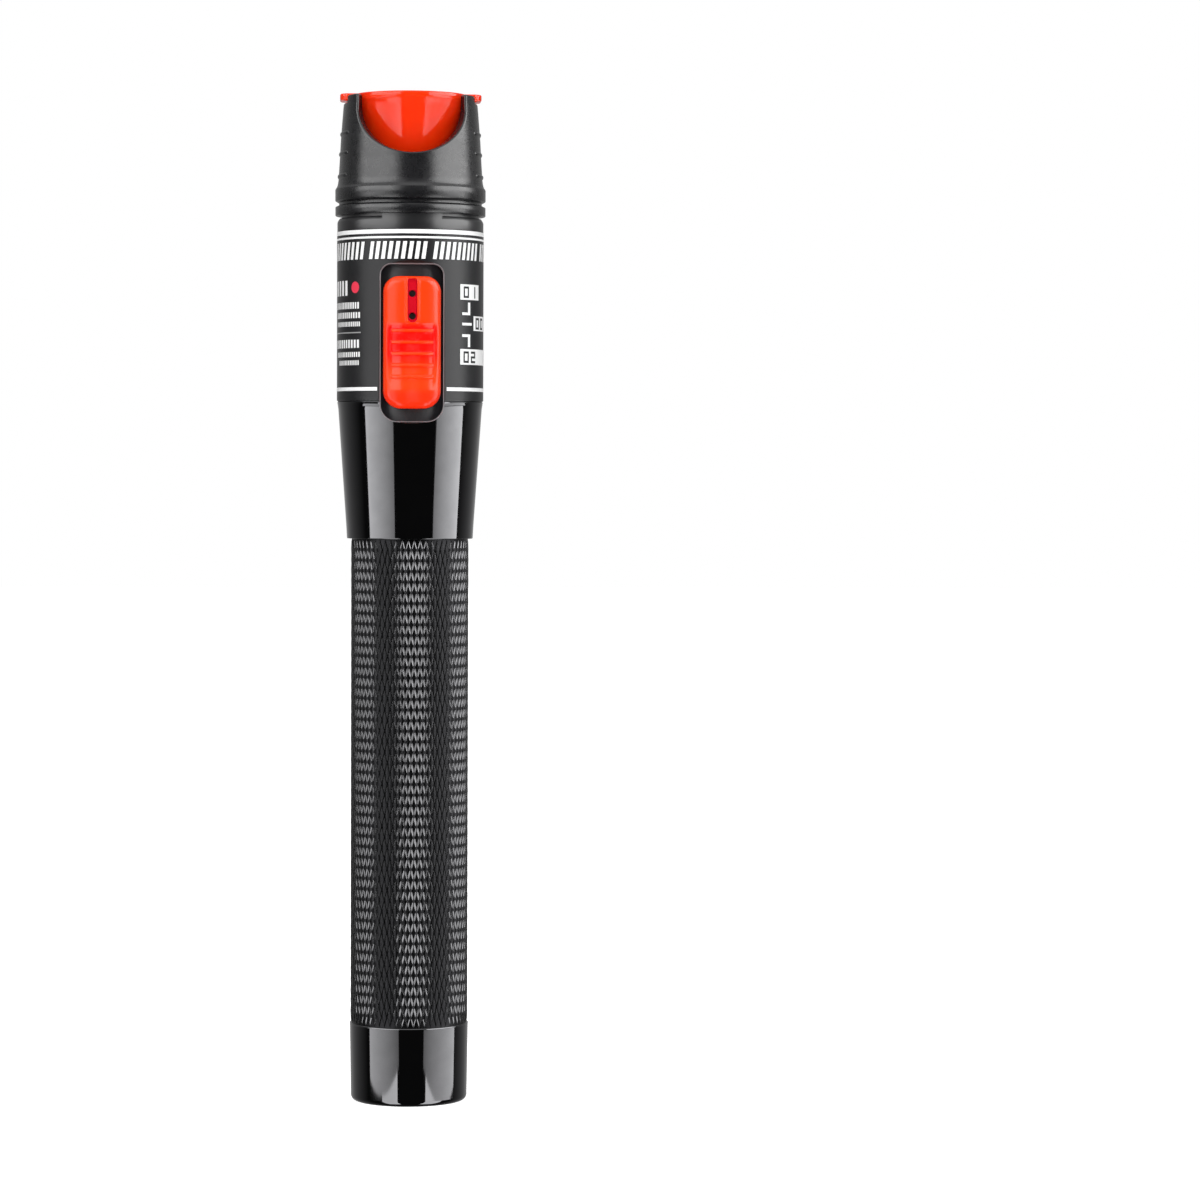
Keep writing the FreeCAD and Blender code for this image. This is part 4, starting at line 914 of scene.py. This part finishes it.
def button_mesh(around=560, inner=88, roll=9):
    back_radius = PLATE_RADIUS + 0.03
    rings = []
    xs, zs = button_rim(0.0, around)
    rings.append([(x, -math.sqrt(back_radius ** 2 - x * x), z) for x, z in zip(xs, zs)])
    for n in range(roll + 1):
        turn = math.pi / 2 * n / roll
        inset = BUTTON_ROLL * (1 - math.cos(turn))
        sink = BUTTON_ROLL * (1 - math.sin(turn))
        xs, zs = button_rim(inset, around)
        rings.append([(x, -BUTTON_FACE + button_depth(x, z) + sink, z) for x, z in zip(xs, zs)])
    low, high = BUTTON_FOOT + BUTTON_FOOT_ROUND, BUTTON_HEAD - BUTTON_HEAD_ROUND
    for n in range(1, inner + 1):
        share = n / inner
        ring = []
        for x, z in zip(xs, zs):
            goal = min(max(z, low), high)
            u, w = x * (1 - share), z + (goal - z) * share
            ring.append((u, -BUTTON_FACE + button_depth(u, w), w))
        rings.append(ring)
    back = []
    for x, _, z in rings[0]:
        back.append((x * 0.5, -back_radius, z + (min(max(z, low), high) - z) * 0.5))
    rings.insert(0, back)
    points = [spot for ring in rings for spot in ring]
    faces = []
    for r in range(len(rings) - 1):
        for n in range(around):
            after = (n + 1) % around
            here, there = r * around, (r + 1) * around
            faces.append((here + n, here + after, there + after, there + n))
    return points, faces


def boxed(left, right, front, back, low, high):
    """Points and faces of a plain block."""
    corners = ((left, front), (right, front), (right, back), (left, back))
    points = [(x, y, z) for z in (low, high) for x, y in corners]
    faces = [(3, 2, 1, 0), (4, 5, 6, 7)]
    faces += [(n, (n + 1) % 4, (n + 1) % 4 + 4, n + 4) for n in range(4)]
    return points, faces


def joined(*parts):
    """One list of points and one of faces from several."""
    points, faces = [], []
    for more_points, more_faces in parts:
        start = len(points)
        points += more_points
        faces += [tuple(start + k for k in face) for face in more_faces]
    return points, faces


# %% [markdown]
# The head of the thumb rest, between its ribs, and the foot of the button are painted a
# deeper red: a painted shade.  It belongs to a place on the button and not to a whole face,
# so each point of the mesh carries a share, 0 to 1, which the finish reads to mix the
# painted shade in.

# %% Paint shade into the thumb rest
REST_SHADE_RISE, REST_SHADE_FALL = (124.6, 128.4), (SCOOP_HEAD - 0.8, SCOOP_HEAD + 0.4)
REST_FRONT, FOOT_SHADE_SHARE = PLATE_RADIUS + 1.0, 0.45


def painted_shade_share(x, y, z):
    """How much painted shade a place takes: the thumb rest's head between its ribs, and the foot.
    """
    if y > -REST_FRONT:
        return 0.0
    share = ease(z, *REST_SHADE_RISE) * (1 - ease(z, *REST_SHADE_FALL))
    share *= 1 - ease(abs(x), SCOOP_SIDE + 0.1, SCOOP_SIDE + 1.0)
    share += FOOT_SHADE_SHARE * (1 - ease(z, SCOOP_FOOT - 1.0, SCOOP_FOOT + 0.6))
    on_rib = 1 - ease(rib_gap(z), 0.1, RIB_BEND + 0.05)
    on_rib *= 1 - ease(abs(x), SCOOP_SIDE - 0.4, SCOOP_SIDE - 0.2)
    return share * (1 - on_rib)


# %% Make the button
STEM_HALF, STEM_FOOT, STEM_HEAD = 1.9, 127.3, 132.4
stem = boxed(-STEM_HALF, STEM_HALF, -10.3, -7.2, STEM_FOOT, STEM_HEAD)
button = make_piece("slide_button", *joined(button_mesh(), stem), button_red, sharp=50.0)
heal(button.data, merge=1e-6)
smooth_between_edges(button.data, 50.0)
# Each point carries its share of the painted shade.
rest_shade_layer = button.data.attributes.new("thumb_rest_painted_shade", "FLOAT", "POINT")
for n, vertex in enumerate(button.data.vertices):
    rest_shade_layer.data[n].value = painted_shade_share(*(c / MM for c in vertex.co))
button.data.materials.append(groove_red)
button.data.materials.append(hole_painted_shade)
# The sunk mark takes the groove red, and its two holes the painted shade.
for face in button.data.polygons:
    x, y, z = (c / MM for c in face.center)
    if y < -REST_FRONT and mark_gap(x, z) < -0.02:
        face.material_index = 2 if hole_gap(x, z) < 0.56 else 1
dress(button, "switch", "switch_button", slot="button_red")

# %% [markdown]
# Behind the button a thin plate, bent to the housing, slides with it and keeps the slot
# closed.  It is a block bent round the axis, with a window for the button's stem.

# %% Bend the slide plate
PLATE_BACK, PLATE_HALF, STEM_GAP = 9.2, 6.9, 0.05
plate = sector(
    "slide_plate", PLATE_BACK, PLATE_RADIUS, foot("switch_slide_plate"),
    head("switch_slide_plate"), math.degrees(math.asin(PLATE_HALF / PLATE_RADIUS)),
    plate_black, steps=48)
window_half = STEM_HALF + STEM_GAP
window_block = boxed(
    -window_half, window_half, -12, -6, STEM_FOOT - STEM_GAP, STEM_HEAD + STEM_GAP)
window = make_piece("plate_window", *window_block, plate_black)
cut(plate, window)
drop(window)
dress(plate, "switch", "switch_slide_plate", slot="plate_black")

# %% [markdown]
# ## Head shroud
# A soft cup round the port.  Its rim dips in a scallop at the front and back and rises in
# an ear at each side, and each ear has a notch for a wing of the cap.  Cutting these out of
# a turned cup would leave sharp edges, so the wall is one sheet: every column follows the
# turned profile up to the rim, rolls over it, and comes down inside.  The rim itself is a
# path of angle and height.

# %% Trace the shroud's rim
RIM_SPREAD = 11.5
SHROUD_BORE, SHROUD_FLOOR, EAR_TOP = 9.76, 160.6, head("head_shroud")
SCALLOP_MIDDLE, SCALLOP_BEND, SCALLOP_FLARE = 170.5, 8.4, 1.09
EAR_ROUND, NOTCH_FLOOR, NOTCH_HALF = 0.5, 171.1, 3.5
EAR_BEVEL, NOTCH_ROUND = 0.3, 0.25
QUARTER_TURN = math.radians(90) * RIM_SPREAD


def corner_arc(bend, steps=6):
    """Points of a quarter circle, from level to upright."""
    swings = [math.pi / 2 * n / steps for n in range(steps + 1)]
    return [(bend * math.cos(swing), bend * math.sin(swing)) for swing in swings]


def rim_quarter():
    """(distance round the rim, height, lag of the inner edge) from the front to the side."""
    path = []
    for n in range(57):
        swing = math.radians(84.0 * n / 56)
        across = SCALLOP_BEND * math.sin(swing)
        outer = math.asin(SCALLOP_FLARE * across / taper_radius(EAR_TOP)) * RIM_SPREAD
        inner = math.asin(across / SHROUD_BORE) * RIM_SPREAD
        path.append((outer, SCALLOP_MIDDLE - SCALLOP_BEND * math.cos(swing), inner - outer))
    wall, lag = path[-1][0] + 0.12, path[-1][2]
    notch = QUARTER_TURN - NOTCH_HALF
    shoulder = EAR_TOP - EAR_ROUND
    ear = [(wall - 0.06, (path[-1][1] + shoulder) / 2)]
    ear += [(wall + EAR_ROUND - s, shoulder + h) for s, h in corner_arc(EAR_ROUND)]
    start = ear[-1][0]
    ear += [(start + (notch - EAR_BEVEL - start) * n / 8, EAR_TOP) for n in range(1, 8)]
    path += [(s, z, lag * min((notch - s) / (notch - wall), 1.0)) for s, z in ear]
    for h, s in reversed(corner_arc(EAR_BEVEL)):
        path.append((notch - EAR_BEVEL + h, EAR_TOP - EAR_BEVEL + s, 0.0))
    for s, h in corner_arc(NOTCH_ROUND):
        path.append((notch + 0.3 - s * 0.8, NOTCH_FLOOR + NOTCH_ROUND - h, 0.0))
    start = path[-1][0]
    path += [(start + (QUARTER_TURN - start) * n / 10, NOTCH_FLOOR, 0.0) for n in range(1, 11)]
    return path


def whole_rim():
    """The rim all the way round, starting at the front."""
    quarter = rim_quarter()
    half = quarter + [(2 * QUARTER_TURN - s, z, -lag) for s, z, lag in reversed(quarter[:-1])]
    return half + [(4 * QUARTER_TURN - s, z, -lag) for s, z, lag in reversed(half[1:-1])]


# %% The shroud's wall
SHROUD_WALL = [
    (12.75, 151.9), (12.85, 152.02), (12.85, 153.35), (12.8, 153.42), (12.22, 153.72),
    (12.2, 153.8), (12.24, 154.1), (12.8, 154.42), (12.87, 154.52), (12.87, 156.35),
    (12.8, 156.5), (12.62, 156.75), (12.5, 157.05), (12.4, 157.5),
]
SHROUD_TAPER = [
    (157.5, 12.4), (157.8, 12.34), (161.3, 12.12), (164.8, 11.94), (169.9, 11.54),
    (171.3, 11.41), (172.3, 11.38),
]
SHROUD_INSIDE = [
    (SHROUD_BORE, SHROUD_FLOOR), (4.6, SHROUD_FLOOR), (4.6, 158.55), (10.7, 158.55),
    (10.7, 155.65), (10.45, 155.5), (10.45, 155.3), (10.7, 155.15), (10.7, 151.9),
]
TAPER_FOOT, INNER_ROLL = SHROUD_TAPER[0][0], 0.1


def taper_radius(height):
    return float(np.interp(height, [z for z, _ in SHROUD_TAPER], [r for _, r in SHROUD_TAPER]))


def shroud_column(s, z, out_s, out_z, lag, roll=0.3, rise=26):
    """One column of the shroud's wall, from its foot over the rim and down inside."""
    column = [(s, height, radius) for radius, height in SHROUD_WALL]
    last_s, last_z = s - out_s * roll, z - out_z * roll
    for n in range(1, rise + 1):
        share = n / rise
        height = TAPER_FOOT + (last_z - TAPER_FOOT) * share
        column.append((s + (last_s - s) * share ** 3, height, taper_radius(height)))
    for n in range(1, 7):
        turn = math.pi / 2 * n / 6
        push = roll * (math.sin(turn) - 1)
        height = z + out_z * push
        inward = roll * (1 - math.cos(turn))
        column.append((s + out_s * push, height, taper_radius(height) - inward))
    for n in range(4):
        turn = math.pi / 2 * n / 3
        push = INNER_ROLL * (math.cos(turn) - 1)
        inner = SHROUD_BORE + INNER_ROLL * (1 - math.sin(turn))
        column.append((s + lag + out_s * push, z + out_z * push, inner))
    edge = z - INNER_ROLL
    column += [(s + lag, edge + (SHROUD_FLOOR - edge) * n / 6, SHROUD_BORE) for n in range(1, 6)]
    column += [(s + lag, height, radius) for radius, height in SHROUD_INSIDE]
    return column


def sheet_of(columns):
    """Points and faces of a closed sheet whose columns go round the axis."""
    points, faces = [], []
    tall = len(columns[0])
    for column in columns:
        for s, height, radius in column:
            swing = s / RIM_SPREAD
            points.append((radius * math.sin(swing), -radius * math.cos(swing), height))
    for c in range(len(columns)):
        here, there = c * tall, (c + 1) % len(columns) * tall
        for n in range(tall):
            after = (n + 1) % tall
            faces.append((here + n, there + n, there + after, here + after))
    return points, faces


def grip_bead(height, middle, half_angle=28.0, thick=0.48, steps=40):
    """A round bead that hugs the wall and dies away at both ends."""
    centre = taper_radius(height) - 0.28
    points, faces = [], []
    sides = 12
    for n in range(steps + 1):
        swing = math.radians(middle - half_angle + 2 * half_angle * n / steps)
        end = min(n, steps - n) / 5
        bend = thick * math.sqrt(max(1 - max(1 - end, 0.0) ** 2, 0.0004))
        for k in range(sides):
            turn = 2 * math.pi * k / sides
            radius, level = centre + bend * math.cos(turn), height + bend * math.sin(turn)
            points.append((radius * math.sin(swing), -radius * math.cos(swing), level))
    for n in range(steps):
        here, there = sides * n, sides * (n + 1)
        for k in range(sides):
            after = (k + 1) % sides
            faces.append((here + k, there + k, there + after, here + after))
    last = sides * steps
    faces += [tuple(range(sides)), tuple(reversed(range(last, last + sides)))]
    return points, faces


# %% Build the shroud
BEAD_HEIGHTS, BEAD_SIDES = (158.6, 162.4, 165.8), (90.0, 270.0)
rim = whole_rim()
columns = []
for n, (s, z, lag) in enumerate(rim):
    (before_s, before_z, _), (after_s, after_z, _) = rim[n - 1], rim[(n + 1) % len(rim)]
    run = after_s - before_s
    if run < 0:
        run += 2 * math.pi * RIM_SPREAD
    length = math.hypot(run, after_z - before_z)
    columns.append(shroud_column(s, z, -(after_z - before_z) / length, run / length, lag))
beads = [grip_bead(height, middle) for height in BEAD_HEIGHTS for middle in BEAD_SIDES]
shroud = make_piece("shroud_skin", *joined(sheet_of(columns), *beads), shroud_black)
heal(shroud.data, merge=1e-7)
smooth_between_edges(shroud.data, 40.0)
dress(shroud, "handle", "head_shroud", slot="shroud_black")

# %% [markdown]
# ## Dust cap
# A soft red plug: a cone under a flat rim, with a dished top and two wings to pull it by.
# The cone, rim and hollow are one lathe outline, and each wing is a short stack of rings
# whose edges are rolled.  All are one mesh, as they are one moulding.

# %% The cap's outline
CAP_FOOT, CAP_CONE_FOOT, CAP_CONE_TALL, CAP_CONE_STEPS = 161.4, 161.52, 9.45, 16
CAP_BORE, CAP_BORE_TOP, CAP_DISH = 3.08, 168.05, 0.6
cap_outline = [(CAP_BORE, CAP_FOOT + 0.1), (CAP_BORE + 0.1, CAP_FOOT), (6.63, CAP_FOOT)]
for n in range(CAP_CONE_STEPS + 1):
    share = n / CAP_CONE_STEPS
    cone = 6.75 + 2.7 * share + 0.1 * share * (1 - share)
    cap_outline.append((cone, CAP_CONE_FOOT + CAP_CONE_TALL * share))
cap_outline += [(9.52, 171.15), (9.6, 171.38)]
cap_outline += rounded(9.56, 171.57, 0.12, -60, 0, 3)
cap_outline += rounded(9.43, cap_top - 0.25, 0.25, 0, 90, 5)
cap_outline += rounded(8.68, cap_top - 0.15, 0.15, 90, 170, 4)
cap_outline += [
    (8.13, cap_top - 0.5), (7.95, cap_top - CAP_DISH), (0.0, cap_top - CAP_DISH),
    (0.0, CAP_BORE_TOP), (CAP_BORE, CAP_BORE_TOP),
]
print("cap outline:", len(cap_outline), "points")

# %% Add its wings
WING_REACH, WING_ROOT, WING_HALF, WING_ROUND, WING_ROLL = 12.07, 8.6, 3.25, 1.6, 0.25
WING_FOOT, WING_HEAD = 171.47, cap_top - 0.02


def wing(side):
    """A flat tab with round outer corners and rolled edges, on one side of the rim."""
    levels = [(turn, WING_FOOT + WING_ROLL * (1 - math.sin(turn)))
              for turn in (math.pi / 2, math.pi / 4, 0.0)]
    levels += [(turn, WING_HEAD - WING_ROLL * (1 - math.sin(turn)))
               for turn in (0.0, math.pi / 6, math.pi / 3, math.pi / 2)]
    rings = []
    for turn, level in levels:
        inset = WING_ROLL * (1 - math.cos(turn))
        ring = [(WING_ROOT, inset - WING_HALF)]
        ring += rounded(
            WING_REACH - WING_ROUND, WING_ROUND - WING_HALF, WING_ROUND - inset, -90, 0, 8)
        ring += [(x, -y) for x, y in reversed(ring)]
        rings.append([(side * x, y, level) for x, y in ring])
    count = len(rings[0])
    points = [spot for ring in rings for spot in ring]
    faces = [tuple(range(count)), tuple(reversed(range(len(points) - count, len(points))))]
    for r in range(len(rings) - 1):
        here, there = r * count, (r + 1) * count
        for n in range(count):
            after = (n + 1) % count
            faces.append((here + n, here + after, there + after, there + n))
    return points, faces


cap_parts = joined(lathe(cap_outline), wing(1), wing(-1))
cap = make_piece("cap_skin", *cap_parts, cap_red)
heal(cap.data)
smooth_between_edges(cap.data, 35.0)
dress(cap, "cap", "dust_cap", slot="cap_red")

# %% [markdown]
# ## Pieces inside
# What sits inside, such as the cells, the driver board and the light source, shows only
# when the cap or the tail comes away.  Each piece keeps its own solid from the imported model
# and only takes a finish, put into the material slots of its object.

# %% Paint the inner pieces
INNER_FINISH = {
    cell_wrap: ("battery_rear", "battery_front"),
    insulator: ("contact_holder",),
    board_green: ("circuit_board",),
    chip_black: ("driver_chip", "chip_resistors", "slide_switch_lever"),
    steel: ("supply_capacitor", "slide_switch_body", "laser_diode", "lens_spring", "tail_spring"),
    brass: ("front_contact", "laser_module_housing", "module_retainer", "tail_contact"),
    lens_glass: ("collimating_lens",),
    nickel: ("ferrule_holder",),
    zirconia: ("ceramic_sleeve",),
    ring_rubber: ("tail_o_ring",),
}
for material, nodes in INNER_FINISH.items():
    for node in nodes:
        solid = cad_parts[node]
        if not solid.material_slots:
            solid.data.materials.append(material)
        for place in solid.material_slots:
            place.material = material
print("inner pieces painted:", sum(len(nodes) for nodes in INNER_FINISH.values()))

# %% [markdown]
# ## Studio
# The pen stands on a white floor in a white room, and two kinds of light fall on it.  Tall
# softboxes stand to its left and right, and are there to be mirrored: they make the upright
# bands in the polished metal.  A lamp in front and one high above light the matt pieces and
# the plastics, and are kept out of the mirrors.  What a mirror sees apart from the boxes is
# the room: dark in front, grey behind and bright above, which gives the edges pale rims.

# %% A softbox
BOX_DISTANCE = 0.9


def softbox(name, inner, outer, inner_light, outer_light):
    """A tall glowing sheet round the pen, seen only in mirrors.

    Its inner edge runs through (height, azimuth) points and its outer edge keeps to one
    azimuth; the light changes evenly from the one to the other.
    """
    points = []
    for height, azimuth in inner:
        for turn in (math.radians(azimuth), math.radians(outer)):
            points.append((BOX_DISTANCE * math.sin(turn), -BOX_DISTANCE * math.cos(turn), height))
    mesh = bpy.data.meshes.new(name)
    mesh.from_pydata(points, [], [(n, n + 1, n + 3, n + 2) for n in range(0, len(points) - 2, 2)])
    layer = mesh.uv_layers.new(name="across")
    for n, corner in enumerate(layer.data):
        corner.uv = ((0, 0), (1, 0), (1, 1), (0, 1))[n % 4]
    material = bpy.data.materials.new(name + "_glow")
    material.use_nodes = True
    tree = material.node_tree
    tree.nodes.clear()
    place = tree.nodes.new("ShaderNodeUVMap")
    place.uv_map = "across"
    split = tree.nodes.new("ShaderNodeSeparateXYZ")
    tree.links.new(place.outputs["UV"], split.inputs[0])
    grade = tree.nodes.new("ShaderNodeMapRange")
    grade.inputs["To Min"].default_value = inner_light
    grade.inputs["To Max"].default_value = outer_light
    tree.links.new(split.outputs["X"], grade.inputs["Value"])
    glow = tree.nodes.new("ShaderNodeEmission")
    tree.links.new(grade.outputs["Result"], glow.inputs["Strength"])
    out = tree.nodes.new("ShaderNodeOutputMaterial")
    tree.links.new(glow.outputs[0], out.inputs["Surface"])
    mesh.materials.append(material)
    box = bpy.data.objects.new(name, mesh)
    bpy.context.scene.collection.objects.link(box)
    box.visible_camera = False
    box.visible_diffuse = False


# %% [markdown]
# Each side has five boxes, one above the other, because skins that lean differently mirror
# different heights of the room: from the lowest box up, the cap's cone, the tail, the
# collar, the label and the shroud each have their own.  A row gives the inner edge, the
# outer azimuth, and the light at the inner and the outer edge.

# %% Hang the softboxes
SOFTBOXES = {
    "left_low": (((-1.4, -22), (-0.19, -24)), -56, 4.6, 4.2),
    "left_tail": (((-0.19, -21), (-0.1, -22)), -84, 0.9, 3.6),
    "left_collar": (((-0.1, -28), (0.0, -29), (0.15, -32)), -79, 1.5, 5.0),
    "left_label": (((0.15, -32), (0.24, -26)), -63, 2.4, 2.4),
    "left_high": (((0.24, -22), (0.75, -22)), -90, 5.0, 5.2),
    "right_low": (((-1.4, 28), (-0.19, 32)), 68, 4.8, 4.8),
    "right_tail": (((-0.19, 27), (-0.1, 28)), 98, 1.0, 4.3),
    "right_collar": (((-0.1, 40), (0.0, 41), (0.15, 45)), 93, 1.65, 6.0),
    "right_label": (((0.15, 45), (0.24, 42)), 86, 6.0, 5.4),
    "right_high": (((0.24, 36), (0.75, 36)), 104, 6.8, 6.8),
}
for level, (inner, outer, inner_light, outer_light) in SOFTBOXES.items():
    softbox("softbox_" + level, inner, outer, inner_light, outer_light)

# %% Place the lamps
LAMP_AIM = Vector((0.0, 0.0, 0.1))


def lamp(name, place, size, energy):
    """A square lamp aimed at the pen's middle; polished pieces don't mirror it."""
    light = bpy.data.lights.new(name, "AREA")
    light.shape = "SQUARE"
    light.size = size
    light.energy = energy
    made = bpy.data.objects.new(name, light)
    made.location = place
    made.rotation_euler = (LAMP_AIM - Vector(place)).to_track_quat("-Z", "Y").to_euler()
    made.visible_glossy = False
    bpy.context.scene.collection.objects.link(made)


lamp("front_lamp", (0.05, -1.0, 0.2), 0.4, 3.4)
lamp("top_lamp", (0.0, -0.45, 1.05), 0.5, 8.0)

# %% [markdown]
# The world is plain white to the camera and through glass.  Mirrored rays see the graded
# room instead of that white, and all other rays get a low, even light.

# %% Build the world
FRONT_GREY, BEHIND_GREY, ABOVE_LIGHT, EVEN_LIGHT = 0.03, 0.45, 1.4, 0.35


def studio_world():
    """White to the camera; to mirrored rays dark in front, grey behind and bright above."""
    world = bpy.data.worlds.new("studio")
    bpy.context.scene.world = world
    world.use_nodes = True
    world.cycles.sampling_method = "NONE"
    tree = world.node_tree
    tree.nodes.clear()

    def ground(strength):
        node = tree.nodes.new("ShaderNodeBackground")
        node.inputs["Color"].default_value = (1, 1, 1, 1)
        if isinstance(strength, bpy.types.NodeSocket):
            tree.links.new(strength, node.inputs["Strength"])
        else:
            node.inputs["Strength"].default_value = strength
        return node.outputs[0]

    def pick(choice, no, yes):
        node = tree.nodes.new("ShaderNodeMixShader")
        tree.links.new(choice, node.inputs[0])
        tree.links.new(no, node.inputs[1])
        tree.links.new(yes, node.inputs[2])
        return node.outputs[0]

    def graded(direction, start, end, low, high):
        node = tree.nodes.new("ShaderNodeMapRange")
        values = {"From Min": start, "From Max": end, "To Min": low, "To Max": high}
        for key, value in values.items():
            node.inputs[key].default_value = value
        tree.links.new(direction, node.inputs["Value"])
        return node.outputs["Result"]

    def maths(operation, one, other):
        node = tree.nodes.new("ShaderNodeMath")
        node.operation = operation
        tree.links.new(one, node.inputs[0])
        tree.links.new(other, node.inputs[1])
        return node.outputs[0]

    ray = tree.nodes.new("ShaderNodeLightPath")
    place = tree.nodes.new("ShaderNodeTexCoord")
    split = tree.nodes.new("ShaderNodeSeparateXYZ")
    tree.links.new(place.outputs["Generated"], split.inputs[0])
    behind = graded(split.outputs["Y"], 0.0, 0.95, FRONT_GREY, BEHIND_GREY)
    above = graded(split.outputs["Z"], 0.5, 0.75, 0.0, ABOVE_LIGHT)
    room = maths("ADD", behind, above)
    clear = maths("MAXIMUM", ray.outputs["Is Camera Ray"], ray.outputs["Is Transmission Ray"])
    mirrored = pick(ray.outputs["Is Glossy Ray"], ground(EVEN_LIGHT), ground(room))
    out = tree.nodes.new("ShaderNodeOutputWorld")
    tree.links.new(pick(clear, mirrored, ground(1.0)), out.inputs["Surface"])


studio_world()

# %% [markdown]
# The floor is matt white and keeps the pen's shadow, a faint one.  To the camera it also
# glows, so that it runs into the white behind it, and a little to other rays.  It is kept
# out of the mirrors, as the lamps are.

# %% Lay the floor
FLOOR_HALF, FLOOR_GLOW, CAMERA_GLOW = 3, 0.15, 0.94
corners = [(-FLOOR_HALF, -FLOOR_HALF), (FLOOR_HALF, -FLOOR_HALF), (FLOOR_HALF, FLOOR_HALF),
           (-FLOOR_HALF, FLOOR_HALF)]
floor_mesh = bpy.data.meshes.new("studio_floor")
floor_mesh.from_pydata([(x, y, 0) for x, y in corners], [], [(0, 1, 2, 3)])
floor_white = finish("floor_white", (0.9, 0.9, 0.9), 0.9, tint=0.0, lift=0.0, specular=0.0)
floor_tree = floor_white.node_tree
floor_shader = floor_tree.nodes["Principled BSDF"]
floor_shader.inputs["Emission Color"].default_value = (1, 1, 1, 1)
floor_ray = floor_tree.nodes.new("ShaderNodeLightPath")
floor_glow = floor_tree.nodes.new("ShaderNodeMapRange")
floor_glow.inputs["To Min"].default_value = FLOOR_GLOW
floor_glow.inputs["To Max"].default_value = CAMERA_GLOW
floor_tree.links.new(floor_ray.outputs["Is Camera Ray"], floor_glow.inputs["Value"])
floor_tree.links.new(floor_glow.outputs["Result"], floor_shader.inputs["Emission Strength"])
floor_mesh.materials.append(floor_white)
floor = bpy.data.objects.new("studio_floor", floor_mesh)
bpy.context.scene.collection.objects.link(floor)
floor.visible_glossy = False

# %% [markdown]
# ## Camera
# The camera looks from a little above the middle of the pen.  A long lens from far off keeps
# the pen's sides parallel, and there is no lens shift, so the same camera can be turned to
# any side.

# %% Place the camera
CAMERA_PLACE = (-0.01869, -0.71376, 0.1092)
CAMERA_DIP, CAMERA_ROLL, CAMERA_TURN = 1.842, -0.2, -4.12
lens = bpy.data.cameras.new("camera")
lens.lens = 124.5
lens.sensor_width = 36.0
camera = bpy.data.objects.new("camera", lens)
camera.location = CAMERA_PLACE
camera.rotation_euler = [math.radians(a) for a in (90 - CAMERA_DIP, CAMERA_ROLL, CAMERA_TURN)]
bpy.context.scene.collection.objects.link(camera)
bpy.context.scene.camera = camera
bpy.context.scene.view_settings.view_transform = "Standard"
print("camera: %.1f mm lens at %.3f m" % (lens.lens, -camera.location.y))
